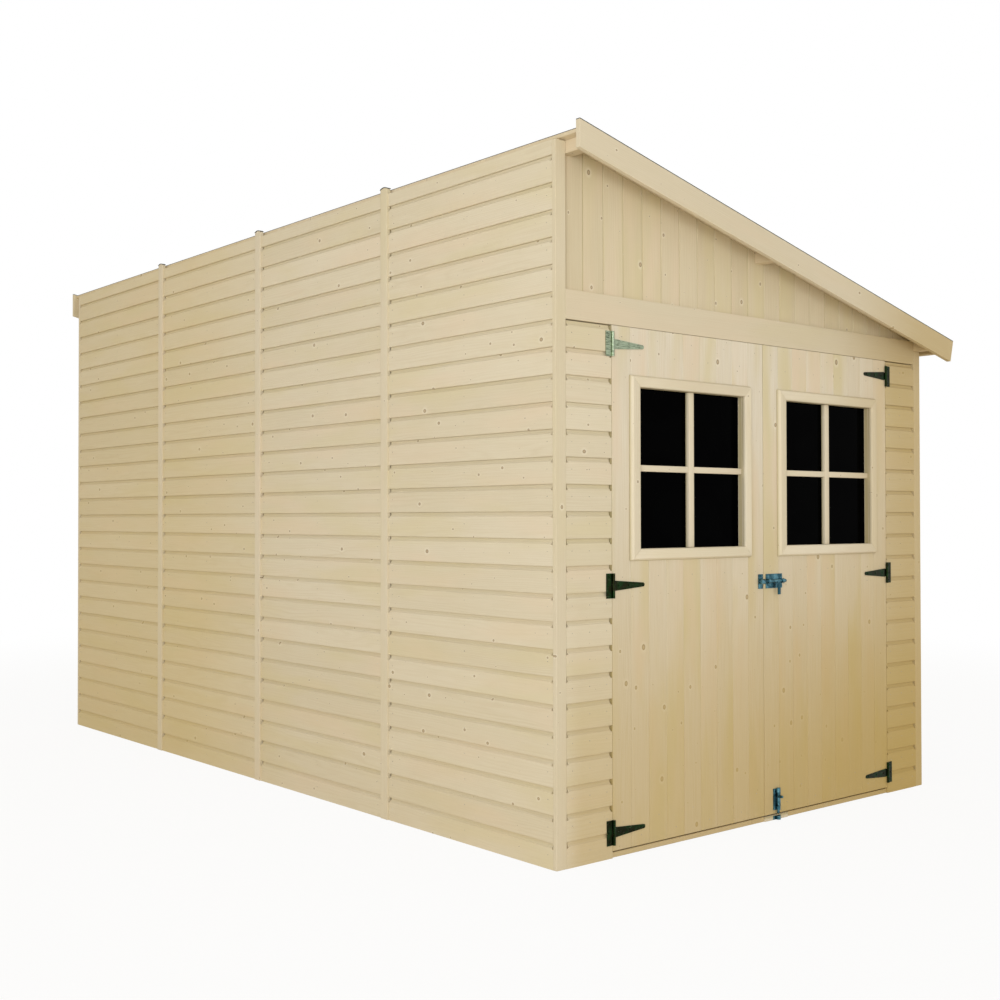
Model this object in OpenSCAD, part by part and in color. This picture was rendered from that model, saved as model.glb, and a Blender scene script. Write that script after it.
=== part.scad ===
// Timber garden shed with a single-pitch roof: boarded walls in panels with cover strips, a felted
// roof on three purlins, and a pair of glazed doors on tee hinges with a slide bolt and a foot bolt.
// The front faces -Y, the high wall faces -X, the ground is z = 0. Lengths are millimetres.

/* [Shed] */
// Width of the front, over the cladding of both long walls
shed_w = 2110; // [1950:10:2450]
// Length of the long walls, over the front and back cladding
shed_l = 3940; // [3000:20:4800]
// Height of the high wall's face
high_wall_h = 2377; // [2240:1:2480]
// Height of the low wall's face, up to the purlin on it
low_wall_h = 1850; // [1800:1:1950]
// Number of panels in each long wall
long_panels = 4; // [4:1:4]
// Share of the wall's length from one cover strip to the next, counted from the front
panel_share = 0.245; // [0.24:0.001:0.25]

/* [Walls] */
// Thickness of the cladding boards
board_t = 19; // [18:1:22]
// Width of the corner boards and cover strips
strip_w = 45; // [40:1:46]
// Thickness of the corner boards, cover strips and header boards
strip_t = 17; // [15:1:18]
// How far the cover strips stand out of the cladding
strip_out = 6; // [3:1:10]
// How far the cover strips of the high wall stand above its face
strip_rise = 34; // [15:1:40]
// Depth of the posts, studs and rails behind the cladding
frame_d = 40; // [36:1:50]
// Room left where rails of two walls meet in a corner
rail_gap = 1; // [0.5:0.5:3]
// Width of a panel's stud, and the height of its rails
frame_w = 28; // [24:1:34]
// Height of the board over the doors
header_h = 98; // [80:1:98]
// How far the door head lies under the top of the low wall
header_drop = 56; // [56:1:70]
// Height of the rail over the doors, under the gable boards
lintel_h = 45; // [40:1:50]

/* [Roof] */
// How far the underside of the roof boards would pass above the high wall's face
roof_lift = 13; // [10:1:16]
// Distance of the roof boards' high edge behind the high wall's face
deck_inset = 22; // [20:1:26]
// Distance of the high purlin behind the high wall's face
purlin_inset = 46; // [46:1:55]
// Depth of the purlins at their high side
purlin_h = 43; // [38:1:50]
// Width of the purlins
purlin_w = 45; // [38:1:45]
// Seat left between the roof and what carries it
seat_gap = 0.2; // [0.1:0.1:0.5]
// Thickness of the roof boards
deck_t = 13; // [12:1:20]
// Thickness of the roof felt
felt_t = 3; // [2:0.5:5]
// Overhang of the roof past the front and back cladding
gable_overhang = 108; // [90:1:180]
// Overhang of the roof past the low wall
eaves_overhang = 88; // [60:1:140]
// Width of the front bargeboard
barge_w = 89; // [80:1:110]
// Width of the back bargeboard
back_barge_w = 118; // [80:1:120]
// Thickness of the bargeboards
barge_t = 19; // [15:1:24]
// How far the front bargeboard stands above the felt
barge_rise = 14; // [10:1:30]
// How far the bargeboards start short of the face of the high wall
barge_inset = 8; // [0:1:15]
// Height of the board along the eaves
eaves_h = 35; // [28:1:45]
// Thickness of the board along the eaves
eaves_t = 19; // [15:1:24]

/* [Doors] */
// Width of the fixed wall at each side of the doors
side_panel_w = 254; // [220:1:290]
// Gap round each door leaf
door_gap = 6; // [6:0.5:8]
// Height of the door's lower edge
door_z = 24; // [24:1:30]
// Gap between the back of the door boards and the threshold
stop_gap = 6; // [6:0.5:8]
// Height of the threshold
sill_h = 45; // [40:1:50]
// How far the strips under the doors stand back from the door face
lip_set = 5; // [3:1:8]
// Height of the cross battens on the back of a door
ledge_h = 70; // [50:1:70]
// Thickness of the cross battens on the back of a door
ledge_t = 19; // [15:1:22]
// How far the cross battens stop short of the door edges
ledge_inset = 45; // [40:1:60]

/* [Door windows] */
// Board left between the window and each upright door edge
win_margin = 119; // [105:1:135]
// Share of the leaf's height under the window
win_sill_share = 0.5737; // [0.56:0.0001:0.58]
// Share of the leaf's height that the window opening takes
win_share = 0.3135; // [0.28:0.0001:0.32]
// Width of the window trim
trim_w = 41; // [34:1:46]
// Thickness of the outer window trim
trim_t = 17; // [12:1:20]
// Thickness of the inner glazing bead
bead_t = 12; // [8:1:15]
// How far the inner bead stands into the window opening
bead_lap = 8; // [5:1:12]
// Thickness of the glass
glass_t = 4; // [3:0.5:6]
// How far the glass laps onto the back of the leaf
glass_lap = 6; // [4:1:10]

/* [Tee hinges] */
// Height of the fixed plates
plate_h = 84; // [76:1:96]
// Width of the fixed plates
plate_w = 26; // [22:1:32]
// Thickness of the hinge iron
iron_t = 2.5; // [2:0.25:3]
// Length of the straps from the pin
strap_l = 152; // [130:1:165]
// Height of a strap at the pin
strap_root_h = 34; // [30:1:36]
// Height of a strap at its tip
strap_tip_h = 14; // [12:1:18]
// Outer radius of the knuckles
knuckle_r = 5; // [5:0.25:6]
// Radius of the hinge pin
pin_r = 2.4; // [2:0.1:2.6]
// Running clearance round pins and between knuckles
run_gap = 0.1; // [0.05:0.01:0.1]
// Height of the middle knuckle
mid_knuckle_h = 30; // [26:1:32]
// Distance of the lowest hinge from the door's lower edge
hinge_low = 62; // [62:1:72]
// Share of the leaf's height under the middle hinge
hinge_mid_share = 0.504; // [0.48:0.001:0.51]
// Distance of the top hinge from the door's top edge
hinge_top = 59; // [55:1:66]

/* [Slide bolt] */
// Share of the leaf's height under the slide bolt
latch_share = 0.498; // [0.48:0.001:0.52]
// Width of its plate
latch_w = 96; // [90:1:104]
// Height of its plate
latch_h = 54; // [48:1:58]
// Thickness of bolt plates
bolt_plate_t = 2.5; // [2:0.25:3]
// Radius of the slide bolt's rod
latch_r = 6; // [5:0.25:6.5]
// Wall of the guides round the rods
guide_wall = 3; // [2.5:0.25:3.5]
// Length of each guide along the rod
guide_l = 14; // [12:1:16]
// Travel of the slide bolt
latch_throw = 28; // [24:1:29]
// Distance of the plate from the meeting edge of its door
latch_inset = 8; // [7:1:12]
// How far the drawn rod's tip lies behind the meeting edge
latch_back = 1; // [0.5:0.5:2]
// How far the rod's tail stands out of its plate
latch_tail = 12; // [8:1:16]
// How far the bolt's tongue hangs below the plate
tongue_drop = 24; // [18:1:30]
// Width of the tongue
tongue_w = 14; // [12:1:15]
// Thickness of the tongue
tongue_t = 4; // [3:0.5:5]
// Length of the catch on the other door
keep_l = 26; // [22:1:30]
// Room round the rod in its catch
keep_gap = 1; // [0.8:0.1:1.2]

/* [Foot bolt] */
// Distance of the foot bolt from the meeting edge of its door
foot_x = 68; // [60:1:80]
// Height of its plate above the door's lower edge
foot_rise = 14; // [12:1:18]
// Height of its plate
foot_h = 80; // [76:1:86]
// Width of its plate
foot_w = 42; // [38:1:46]
// Radius of the foot bolt's rod
foot_r = 5; // [4.5:0.25:5.5]
// How far the drawn rod ends above the door's lower edge
foot_back = 2; // [1:0.5:4]
// Travel of the foot bolt
foot_throw = 22; // [16:1:22]
// Length of the knob on the rod
knob_l = 15; // [12:1:18]
// Radius of the knob
knob_r = 5; // [4.5:0.25:5.5]
// Width of the block that carries the floor catch
block_w = 138; // [120:1:150]
// Height of that block
block_h = 18; // [16:1:18]
// Height of the floor catch
foot_keep_h = 14; // [12:1:16]

/* [Floor] */
// Height of the floor bearers
bearer_h = 28; // [24:1:32]
// Width of the floor bearers
bearer_w = 45; // [38:1:60]
// Number of floor bearers
bearer_count = 7; // [5:1:9]
// Thickness of the floor boards
floor_t = 16; // [12:1:18]

/* [Hidden] */
// Cutting tools run past the faces that they open by this much
cut = 1;
// Facets of a full circle
$fn = 48;
// Underside of the roof boards, carried on to the high wall's face
roof_z0 = high_wall_h + roof_lift;
// Slope of the roof, and its angle
slope = (roof_z0 - low_wall_h - purlin_h) / (shed_w - purlin_w);
pitch = atan(slope);
// Distance from the high wall's face to the low end of the roof
roof_reach = shed_w + eaves_overhang;
// Outer faces of the four clad walls
x_high = (strip_out - roof_reach) / 2;
x_low = x_high + shed_w;
x_mid = x_high + shed_w / 2;
y_front = -shed_l / 2;
y_back = shed_l / 2;
// Inner faces of the cladding and of the frame behind it
x_clad_high = x_high + board_t;
x_clad_low = x_low - board_t;
x_frame_high = x_clad_high + frame_d;
x_frame_low = x_clad_low - frame_d;
y_clad_front = y_front + board_t;
y_clad_back = y_back - board_t;
y_frame_front = y_clad_front + frame_d;
y_frame_back = y_clad_back - frame_d;
// Inner faces of the corner boards, and of the gable boards that stand behind the header boards
x_corner_high = x_high + strip_w;
x_corner_low = x_low - strip_w;
y_trim_front = y_front + strip_t;
y_trim_back = y_back - strip_t;
y_gable_front = y_trim_front + board_t;
// High sides of the three purlins, and the underside of the first
x_purlins = [x_high + purlin_inset, x_mid - purlin_w / 2, x_low - purlin_w];
high_frame_h = roof_z(x_purlins[0]) - purlin_h;
// Distance between cover strips
panel_l = shed_l * panel_share;
// Door head, and the lower edge of the gable boards
header_z = low_wall_h - header_drop;
gable_z = header_z + lintel_h;
// Doorway and leaves
door_x0 = x_high + side_panel_w;
door_x1 = x_low - side_panel_w;
leaf_w = (door_x1 - door_x0 - 3 * door_gap) / 2;
leaf_top = header_z - door_gap;
leaf_h = leaf_top - door_z;
left_x0 = door_x0 + door_gap;
left_x1 = left_x0 + leaf_w;
right_x0 = left_x1 + door_gap;
y_leaf_back = y_front + board_t;
// Window opening in the left leaf, and the back of the glass that lies against the leaf
win_x0 = left_x0 + win_margin;
win_x1 = left_x1 - win_margin;
win_z = door_z + leaf_h * win_sill_share;
win_top = win_z + leaf_h * win_share;
y_glass_back = y_leaf_back + glass_t;
// Hinge pins
pin_x = door_x0 + door_gap / 2;
pin_y = y_front - knuckle_r;
hinge_zs = [door_z + hinge_low, door_z + leaf_h * hinge_mid_share, leaf_top - hinge_top];
// Roof board, felt and bargeboard limits, along and square to the slope
deck_u0 = deck_inset / cos(pitch);
deck_top = seat_gap + deck_t;
felt_top = deck_top + felt_t;
barge_top = felt_top + barge_rise;
barge_u1 = (roof_reach - barge_top * sin(pitch)) / cos(pitch);
barge_x = x_high + barge_inset;
barge_y = shed_l / 2 + gable_overhang - barge_t;
roof_y = barge_y - seat_gap;
// Slide bolt and its catch
latch_y = y_front - latch_r - guide_wall - seat_gap;
latch_z = door_z + leaf_h * latch_share;
latch_x0 = right_x0 + latch_inset;
latch_x1 = latch_x0 + latch_w;
keep_x1 = left_x1 - latch_inset / 2;
latch_play = (latch_w - 2 * guide_l - tongue_w - latch_throw) / 2;
tongue_x = latch_x0 + guide_l + latch_play + latch_throw + tongue_w / 2;
// Foot bolt and its catch
foot_cx = right_x0 + foot_x;
foot_y = y_front - foot_r - guide_wall - seat_gap;
foot_z = door_z + foot_rise;
foot_top = foot_z + foot_h;
foot_play = (foot_h - 2 * guide_l - 2 * knob_r - foot_throw) / 2;
knob_z = foot_z + guide_l + foot_play + foot_throw + knob_r;
foot_keep_z = (block_h - foot_keep_h) / 2;
foot_keep_r = foot_r + keep_gap;
// Threshold
y_sill = y_leaf_back + stop_gap;

// Height of the underside of the roof boards over a place across the shed
function roof_z(x) = roof_z0 - (x - x_high) * slope;
// The same with a distance square to the slope
function slope_z(x, n) = roof_z(x) + n / cos(pitch);
// A place as seen from the front, from its distances down the slope and square to it
function slope_point(u, n) = [
    x_high + u * cos(pitch) + n * sin(pitch),
    roof_z0 - u * sin(pitch) + n * cos(pitch)
];
// Middle of a cover strip on a long wall
function strip_y(i) = y_front + i * panel_l;
// Where the boards of a long wall's panel begin and end
function panel_y0(i) = i == 0 ? y_trim_front : strip_y(i) + strip_w / 2;
function panel_y1(i) = i == long_panels - 1 ? y_trim_back : strip_y(i + 1) - strip_w / 2;

// A box between two opposite corners
module box_at(x0, x1, y0, y1, z0, z1) {
    translate([x0, y0, z0])
        cube([x1 - x0, y1 - y0, z1 - z0]);
}

// A flat shape drawn as seen from the front, standing from y0 to y1
module upright(y0, y1) {
    translate([0, y1, 0])
        rotate([90, 0, 0])
            linear_extrude(y1 - y0)
                children();
}

// A flat shape drawn as seen from the side, lying from x0 to x1
module sideways(x0, x1) {
    translate([x0, 0, 0])
        rotate([90, 0, 90])
            linear_extrude(x1 - x0)
                children();
}

// A round bar between two heights
module bar_z(x, y, z0, z1, r) {
    translate([x, y, z0])
        cylinder(h = z1 - z0, r = r);
}

// A round bar lying across the front
module bar_x(x0, x1, y, z, r) {
    translate([x0, y, z])
        rotate([0, 90, 0])
            cylinder(h = x1 - x0, r = r);
}

// A copy on the other side of the meeting line of the doors
module on_right() {
    translate([2 * x_mid, 0, 0])
        mirror([1, 0, 0])
            children();
}

// A copy on the back wall
module at_back() {
    mirror([0, 1, 0])
        children();
}

// What lies along the roof slope: u down the slope, n square to it
module on_slope(u0, u1, y0, y1, n0, n1) {
    translate([x_high, 0, roof_z0])
        rotate([0, pitch, 0])
            box_at(u0, u1, y0, y1, n0, n1);
}

// One panel of the high wall, counted from the front
module high_wall_panel(i) {
    color("tan")
        box_at(x_high, x_clad_high, panel_y0(i), panel_y1(i), 0, high_wall_h);
}

// One panel of the low wall, counted from the front
module low_wall_panel(i) {
    color("tan")
        box_at(x_clad_low, x_low, panel_y0(i), panel_y1(i), 0, low_wall_h);
}

// Half of the back wall up to the header board
module back_wall_panel_1() {
    color("tan")
        box_at(x_corner_high, x_mid - strip_w / 2, y_clad_back, y_back, 0, header_z);
}

module back_wall_panel_2() {
    color("tan")
        box_at(x_mid + strip_w / 2, x_corner_low, y_clad_back, y_back, 0, header_z);
}

// Fixed wall beside the doors
module front_panel_left() {
    color("tan")
        box_at(x_corner_high, door_x0, y_front, y_clad_front, 0, header_z);
}

module front_panel_right() {
    color("tan")
        box_at(door_x1, x_corner_low, y_front, y_clad_front, 0, header_z);
}

// Everything under the roof boards above a height, as seen from the front
module under_roof(x0, x1, z0) {
    polygon([[x0, z0], [x1, z0], [x1, roof_z(x1)], [x0, roof_z(x0)]]);
}

// Gable boards, notched round the purlins
module front_gable() {
    color("burlywood")
        upright(y_trim_front, y_gable_front)
            difference() {
                under_roof(x_clad_high, x_purlins[2], gable_z);
                purlin_notch(x_purlins[0]);
                purlin_notch(x_purlins[1]);
            }
}

module back_gable() {
    color("burlywood")
        at_back() front_gable();
}

// The boards over the doors and over the back wall, kept under the roof slope
module header_boards() {
    color("wheat") {
        header_board();
        at_back() header_board();
    }
}

module header_board() {
    upright(y_front, y_trim_front)
        intersection() {
            under_roof(x_corner_high, x_corner_low, header_z);
            translate([x_corner_high, header_z])
                square([x_corner_low - x_corner_high, header_h]);
        }
}

// Corner boards, level with the front and back cladding
module corner_boards() {
    color("wheat") {
        corner_pair();
        at_back() corner_pair();
    }
}

module corner_pair() {
    box_at(x_high, x_corner_high, y_front, y_trim_front, 0, high_wall_h);
    box_at(x_corner_low, x_low, y_front, y_trim_front, 0, low_wall_h);
}

// Cover strips between the panels of the long walls and of the back wall
module cover_strips() {
    color("wheat") {
        for (i = [1 : long_panels - 1]) {
            box_at(x_high - strip_out, x_high - strip_out + strip_t,
                strip_y(i) - strip_w / 2, strip_y(i) + strip_w / 2, 0, high_wall_h + strip_rise);
            box_at(x_low + strip_out - strip_t, x_low + strip_out,
                strip_y(i) - strip_w / 2, strip_y(i) + strip_w / 2, 0, low_wall_h);
        }
        box_at(x_mid - strip_w / 2, x_mid + strip_w / 2,
            y_back + strip_out - strip_t, y_back + strip_out, 0, header_z);
    }
}

// Posts in the corners and beside the doorway, and studs behind the cover strips
module wall_posts() {
    color("peru") {
        post_pair();
        at_back() post_pair();
        door_post();
        on_right() door_post();
        for (i = [1 : long_panels - 1]) {
            box_at(x_clad_high, x_frame_high, strip_y(i) - frame_w, strip_y(i) + frame_w,
                frame_w, high_frame_h - frame_w);
            box_at(x_frame_low, x_clad_low, strip_y(i) - frame_w, strip_y(i) + frame_w,
                frame_w, low_wall_h - frame_w);
        }
        box_at(x_mid - frame_w, x_mid + frame_w, y_frame_back, y_clad_back, frame_w, header_z);
    }
}

// The high post is notched for the gable boards, the low one ends under them
module post_pair() {
    box_at(x_clad_high, x_frame_high, y_clad_front, y_frame_front, 0, gable_z);
    box_at(x_clad_high, x_frame_high, y_gable_front, y_frame_front, 0, high_frame_h);
    box_at(x_frame_low, x_clad_low, y_clad_front, y_frame_front, 0, gable_z);
}

module door_post() {
    box_at(door_x0 - frame_w, door_x0, y_clad_front, y_frame_front, 0, header_z);
}

// Rails along the ground, along the tops of the walls and over the doors
module wall_rails() {
    color("peru") {
        box_at(x_clad_high, x_frame_high, y_frame_front, y_frame_back, 0, frame_w);
        box_at(x_frame_low, x_clad_low, y_frame_front, y_frame_back, 0, frame_w);
        box_at(x_frame_high, x_frame_low, y_frame_back + rail_gap, y_clad_back, 0, frame_w);
        box_at(x_frame_high, door_x0 - frame_w, y_clad_front, y_frame_front - rail_gap, 0, frame_w);
        box_at(door_x1 + frame_w, x_frame_low, y_clad_front, y_frame_front - rail_gap, 0, frame_w);
        box_at(x_clad_high, x_frame_high, y_frame_front, y_frame_back, high_frame_h - frame_w, high_frame_h);
        box_at(x_frame_low, x_clad_low, y_frame_front, y_frame_back, low_wall_h - frame_w, low_wall_h);
        cross_rail();
        at_back() cross_rail();
    }
}

module cross_rail() {
    box_at(x_frame_high, x_frame_low, y_trim_front, y_frame_front - rail_gap, header_z, gable_z);
}

// Threshold that the doors close in front of, with the strips that fill the step under them
module threshold() {
    strip_ends = [[door_x0, right_x0 - seat_gap], [right_x0 + block_w + seat_gap, door_x1]];
    color("peru") {
        box_at(door_x0, door_x1, y_sill, y_frame_front, 0, sill_h);
        for (ends = strip_ends)
            box_at(ends[0], ends[1], y_front + lip_set, y_sill - seat_gap, 0, door_z - door_gap);
    }
}

// Block on the threshold, level with the door face, for the foot bolt's catch
module keeper_block() {
    color("wheat")
        box_at(right_x0, right_x0 + block_w, y_front, y_sill, 0, block_h);
}

// Catch for the foot bolt: a plate with a round loop
module foot_bolt_catch() {
    color("slategray")
        difference() {
            union() {
                box_at(foot_cx - foot_w / 2, foot_cx + foot_w / 2, y_front - bolt_plate_t, y_front,
                    foot_keep_z, foot_keep_z + foot_keep_h);
                bar_z(foot_cx, foot_y, foot_keep_z, foot_keep_z + foot_keep_h, foot_keep_r + guide_wall);
            }
            bar_z(foot_cx, foot_y, foot_keep_z - cut, foot_keep_z + foot_keep_h + cut, foot_keep_r);
            box_at(foot_cx - foot_w, foot_cx + foot_w, y_front, y_sill, 0, block_h);
        }
}

// Floor boards between the walls, on their bearers
module floor_boards() {
    color("tan")
        box_at(x_frame_high, x_frame_low, y_frame_front, y_frame_back, bearer_h, bearer_h + floor_t);
}

module floor_bearers() {
    color("peru")
        for (i = [0 : bearer_count - 1])
            box_at(x_frame_high, x_frame_low, bearer_y(i) - bearer_w / 2, bearer_y(i) + bearer_w / 2,
                0, bearer_h);
}

// Middle of a floor bearer
function bearer_y(i) = y_frame_front + (i + 0.5) * (y_frame_back - y_frame_front) / bearer_count;

// End face of a purlin whose high side is at x
module purlin_face(x) {
    polygon([
        [x, roof_z(x) - purlin_h],
        [x + purlin_w, roof_z(x) - purlin_h],
        [x + purlin_w, roof_z(x + purlin_w)],
        [x, roof_z(x)]
    ]);
}

// Cut-out in the gable boards for a purlin
module purlin_notch(x) {
    polygon([
        [x, roof_z(x) - purlin_h],
        [x + purlin_w, roof_z(x) - purlin_h],
        [x + purlin_w, roof_z(x + purlin_w) + cut],
        [x, roof_z(x) + cut]
    ]);
}

// Purlins that run out to both bargeboards
module purlins() {
    color("wheat")
        for (x = x_purlins)
            upright(-roof_y, roof_y)
                purlin_face(x);
}

// Roof boards, up to the board along the eaves
module roof_boards() {
    color("tan")
        on_slope(deck_u0, barge_u1 - eaves_t, -roof_y, roof_y, seat_gap, deck_top);
}

module roof_felt() {
    color("dimgray")
        on_slope(deck_u0, barge_u1, -roof_y, roof_y, deck_top, felt_top);
}

module eaves_board() {
    color("wheat")
        on_slope(barge_u1 - eaves_t, barge_u1, -roof_y, roof_y, deck_top - eaves_h, deck_top);
}

// Boards along the front and back edges of the roof, cut plumb at the high end and square at the low end
module bargeboards() {
    color("wheat") {
        upright(-barge_y - barge_t, -barge_y)
            barge_face(barge_top - barge_w, barge_top);
        upright(barge_y, barge_y + barge_t)
            barge_face(felt_top - back_barge_w, felt_top);
    }
}

module barge_face(n0, n1) {
    polygon([
        [barge_x, slope_z(barge_x, n0)],
        slope_point(barge_u1, n0),
        slope_point(barge_u1, n1),
        [barge_x, slope_z(barge_x, n1)]
    ]);
}

// Fixed halves of the tee hinges with their pins, three to a side
module hinge_plates() {
    color("darkslategray") {
        for (z = hinge_zs) {
            hinge_plate(z);
            on_right() hinge_plate(z);
        }
    }
}

module hinge_plate(z) {
    z0 = z - plate_h / 2;
    z1 = z + plate_h / 2;
    m0 = z - mid_knuckle_h / 2 - run_gap;
    m1 = z + mid_knuckle_h / 2 + run_gap;
    difference() {
        union() {
            box_at(pin_x - knuckle_r - plate_w, pin_x, y_front - iron_t, y_front, z0, z1);
            bar_z(pin_x, pin_y, z0, z1, knuckle_r);
        }
        difference() {
            box_at(pin_x - knuckle_r - run_gap, pin_x + 2 * knuckle_r, pin_y - 2 * knuckle_r,
                y_front + cut, m0, m1);
            bar_z(pin_x, pin_y, m0 - cut, m1 + cut, pin_r);
        }
    }
}

// Moving halves of the tee hinges
module hinge_straps() {
    color("darkslategray")
        for (z = hinge_zs)
            hinge_strap(z);
}

module hinge_strap(z) {
    tip_r = strap_tip_h / 2;
    m0 = z - mid_knuckle_h / 2;
    m1 = z + mid_knuckle_h / 2;
    difference() {
        union() {
            box_at(pin_x, pin_x + 2 * knuckle_r, y_front - iron_t, y_front, m0, m1);
            upright(y_front - iron_t, y_front)
                polygon([
                    [pin_x + 2 * knuckle_r, z - strap_root_h / 2],
                    [pin_x + strap_l - tip_r, z - tip_r],
                    [pin_x + strap_l - tip_r, z + tip_r],
                    [pin_x + 2 * knuckle_r, z + strap_root_h / 2]
                ]);
            translate([pin_x + strap_l - tip_r, y_front, z])
                rotate([90, 0, 0])
                    cylinder(h = iron_t, r = tip_r);
            bar_z(pin_x, pin_y, m0, m1, knuckle_r);
        }
        bar_z(pin_x, pin_y, m0 - cut, m1 + cut, pin_r + run_gap);
    }
}

module left_hinge_straps() {
    hinge_straps();
}

module right_hinge_straps() {
    on_right() hinge_straps();
}

// One door leaf with its window cut through
module door_leaf() {
    color("burlywood")
        difference() {
            box_at(left_x0, left_x1, y_front, y_leaf_back, door_z, leaf_top);
            box_at(win_x0, win_x1, y_front - cut, y_leaf_back + cut, win_z, win_top);
        }
}

module left_door_leaf() {
    door_leaf();
}

module right_door_leaf() {
    on_right() door_leaf();
}

// Cross battens behind a leaf, one at each hinge
module door_ledges() {
    color("peru")
        for (z = hinge_zs)
            box_at(left_x0 + ledge_inset, left_x1 - ledge_inset, y_leaf_back, y_leaf_back + ledge_t,
                z - ledge_h / 2, z + ledge_h / 2);
}

module left_door_ledges() {
    door_ledges();
}

module right_door_ledges() {
    on_right() door_ledges();
}

// Window trim on the face of a leaf, and the rebated bead that holds the glass from behind
module window_trim() {
    color("wheat") {
        window_ring(y_front - trim_t, y_front, 0, trim_w);
        difference() {
            window_ring(y_leaf_back, y_leaf_back + bead_t, bead_lap, trim_w);
            window_pane(y_leaf_back - cut);
        }
    }
}

module window_ring(y0, y1, lap, reach) {
    difference() {
        box_at(win_x0 - reach, win_x1 + reach, y0, y1, win_z - reach, win_top + reach);
        box_at(win_x0 + lap, win_x1 - lap, y0 - cut, y1 + cut, win_z + lap, win_top - lap);
    }
}

module left_window_trim() {
    window_trim();
}

module right_window_trim() {
    on_right() window_trim();
}

module window_glass() {
    color("black")
        window_pane(y_leaf_back);
}

module window_pane(y0) {
    box_at(win_x0 - glass_lap, win_x1 + glass_lap, y0, y_glass_back, win_z - glass_lap, win_top + glass_lap);
}

module left_window_glass() {
    window_glass();
}

module right_window_glass() {
    on_right() window_glass();
}

// Plate of the slide bolt with its two guides
module slide_bolt_case() {
    color("slategray")
        difference() {
            union() {
                box_at(latch_x0, latch_x1, y_front - bolt_plate_t, y_front,
                    latch_z - latch_h / 2, latch_z + latch_h / 2);
                latch_guide(latch_x0);
                latch_guide(latch_x1 - guide_l);
            }
            bar_x(latch_x0 - cut, latch_x1 + cut, latch_y, latch_z, latch_r + run_gap);
        }
}

module latch_guide(x) {
    bar_x(x, x + guide_l, latch_y, latch_z, latch_r + guide_wall);
}

// The slide bolt with its hanging tongue
module slide_bolt_rod() {
    color("lightslategray") {
        bar_x(right_x0 + latch_back, latch_x1 + latch_tail, latch_y, latch_z, latch_r);
        box_at(tongue_x - tongue_w / 2, tongue_x + tongue_w / 2, latch_y - latch_r - tongue_t / 2,
            latch_y - latch_r + tongue_t / 2, latch_z - latch_h / 2 - tongue_drop, latch_z);
    }
}

// Catch of the slide bolt on the other leaf
module slide_bolt_catch() {
    color("slategray")
        difference() {
            union() {
                box_at(keep_x1 - keep_l, keep_x1, y_front - bolt_plate_t, y_front,
                    latch_z - latch_h / 2, latch_z + latch_h / 2);
                bar_x(keep_x1 - keep_l, keep_x1, latch_y, latch_z, latch_r + keep_gap + guide_wall);
            }
            bar_x(keep_x1 - keep_l - cut, keep_x1 + cut, latch_y, latch_z, latch_r + keep_gap);
            box_at(keep_x1 - 2 * keep_l, keep_x1 + keep_l, y_front, y_leaf_back,
                latch_z - latch_h, latch_z + latch_h);
        }
}

// Plate of the foot bolt with its two guides
module foot_bolt_case() {
    color("slategray")
        difference() {
            union() {
                box_at(foot_cx - foot_w / 2, foot_cx + foot_w / 2, y_front - bolt_plate_t, y_front,
                    foot_z, foot_top);
                foot_guide(foot_z);
                foot_guide(foot_top - guide_l);
            }
            bar_z(foot_cx, foot_y, foot_z - cut, foot_top + cut, foot_r + run_gap);
        }
}

module foot_guide(z) {
    bar_z(foot_cx, foot_y, z, z + guide_l, foot_r + guide_wall);
}

// The foot bolt with its knob
module foot_bolt_rod() {
    color("lightslategray") {
        bar_z(foot_cx, foot_y, door_z + foot_back, foot_top + guide_wall, foot_r);
        translate([foot_cx, foot_y, knob_z])
            rotate([90, 0, 0])
                cylinder(h = foot_r + knob_l, r = knob_r);
    }
}

// Draws the node that is asked for, or all of them
for (i = [1 : long_panels])
    high_wall_panel(i - 1);
for (i = [1 : long_panels])
    low_wall_panel(i - 1);
back_wall_panel_1();
back_wall_panel_2();
front_panel_left();
front_panel_right();
front_gable();
back_gable();
header_boards();
corner_boards();
cover_strips();
wall_posts();
wall_rails();
threshold();
keeper_block();
foot_bolt_catch();
floor_boards();
floor_bearers();
purlins();
roof_boards();
roof_felt();
bargeboards();
eaves_board();
hinge_plates();
left_door_leaf();
left_door_ledges();
left_window_trim();
left_window_glass();
left_hinge_straps();
slide_bolt_catch();
right_door_leaf();
right_door_ledges();
right_window_trim();
right_window_glass();
right_hinge_straps();
slide_bolt_case();
foot_bolt_case();
slide_bolt_rod();
foot_bolt_rod();
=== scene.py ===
# %% [markdown]
# A timber garden shed: level boards on the walls, upright boards on the doors and gables, planed trim,
# dark tee hinges and zinc bolts. The imported solids are its skeleton. Boards could be painted on flat
# walls, but a real board has edges that catch light and throw shadow, so this lesson dresses the
# skeleton board by board. It loads the skeleton first.

# %% Load the frame
import math
import random

import bmesh
import bpy
from mathutils import Matrix, Vector


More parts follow.
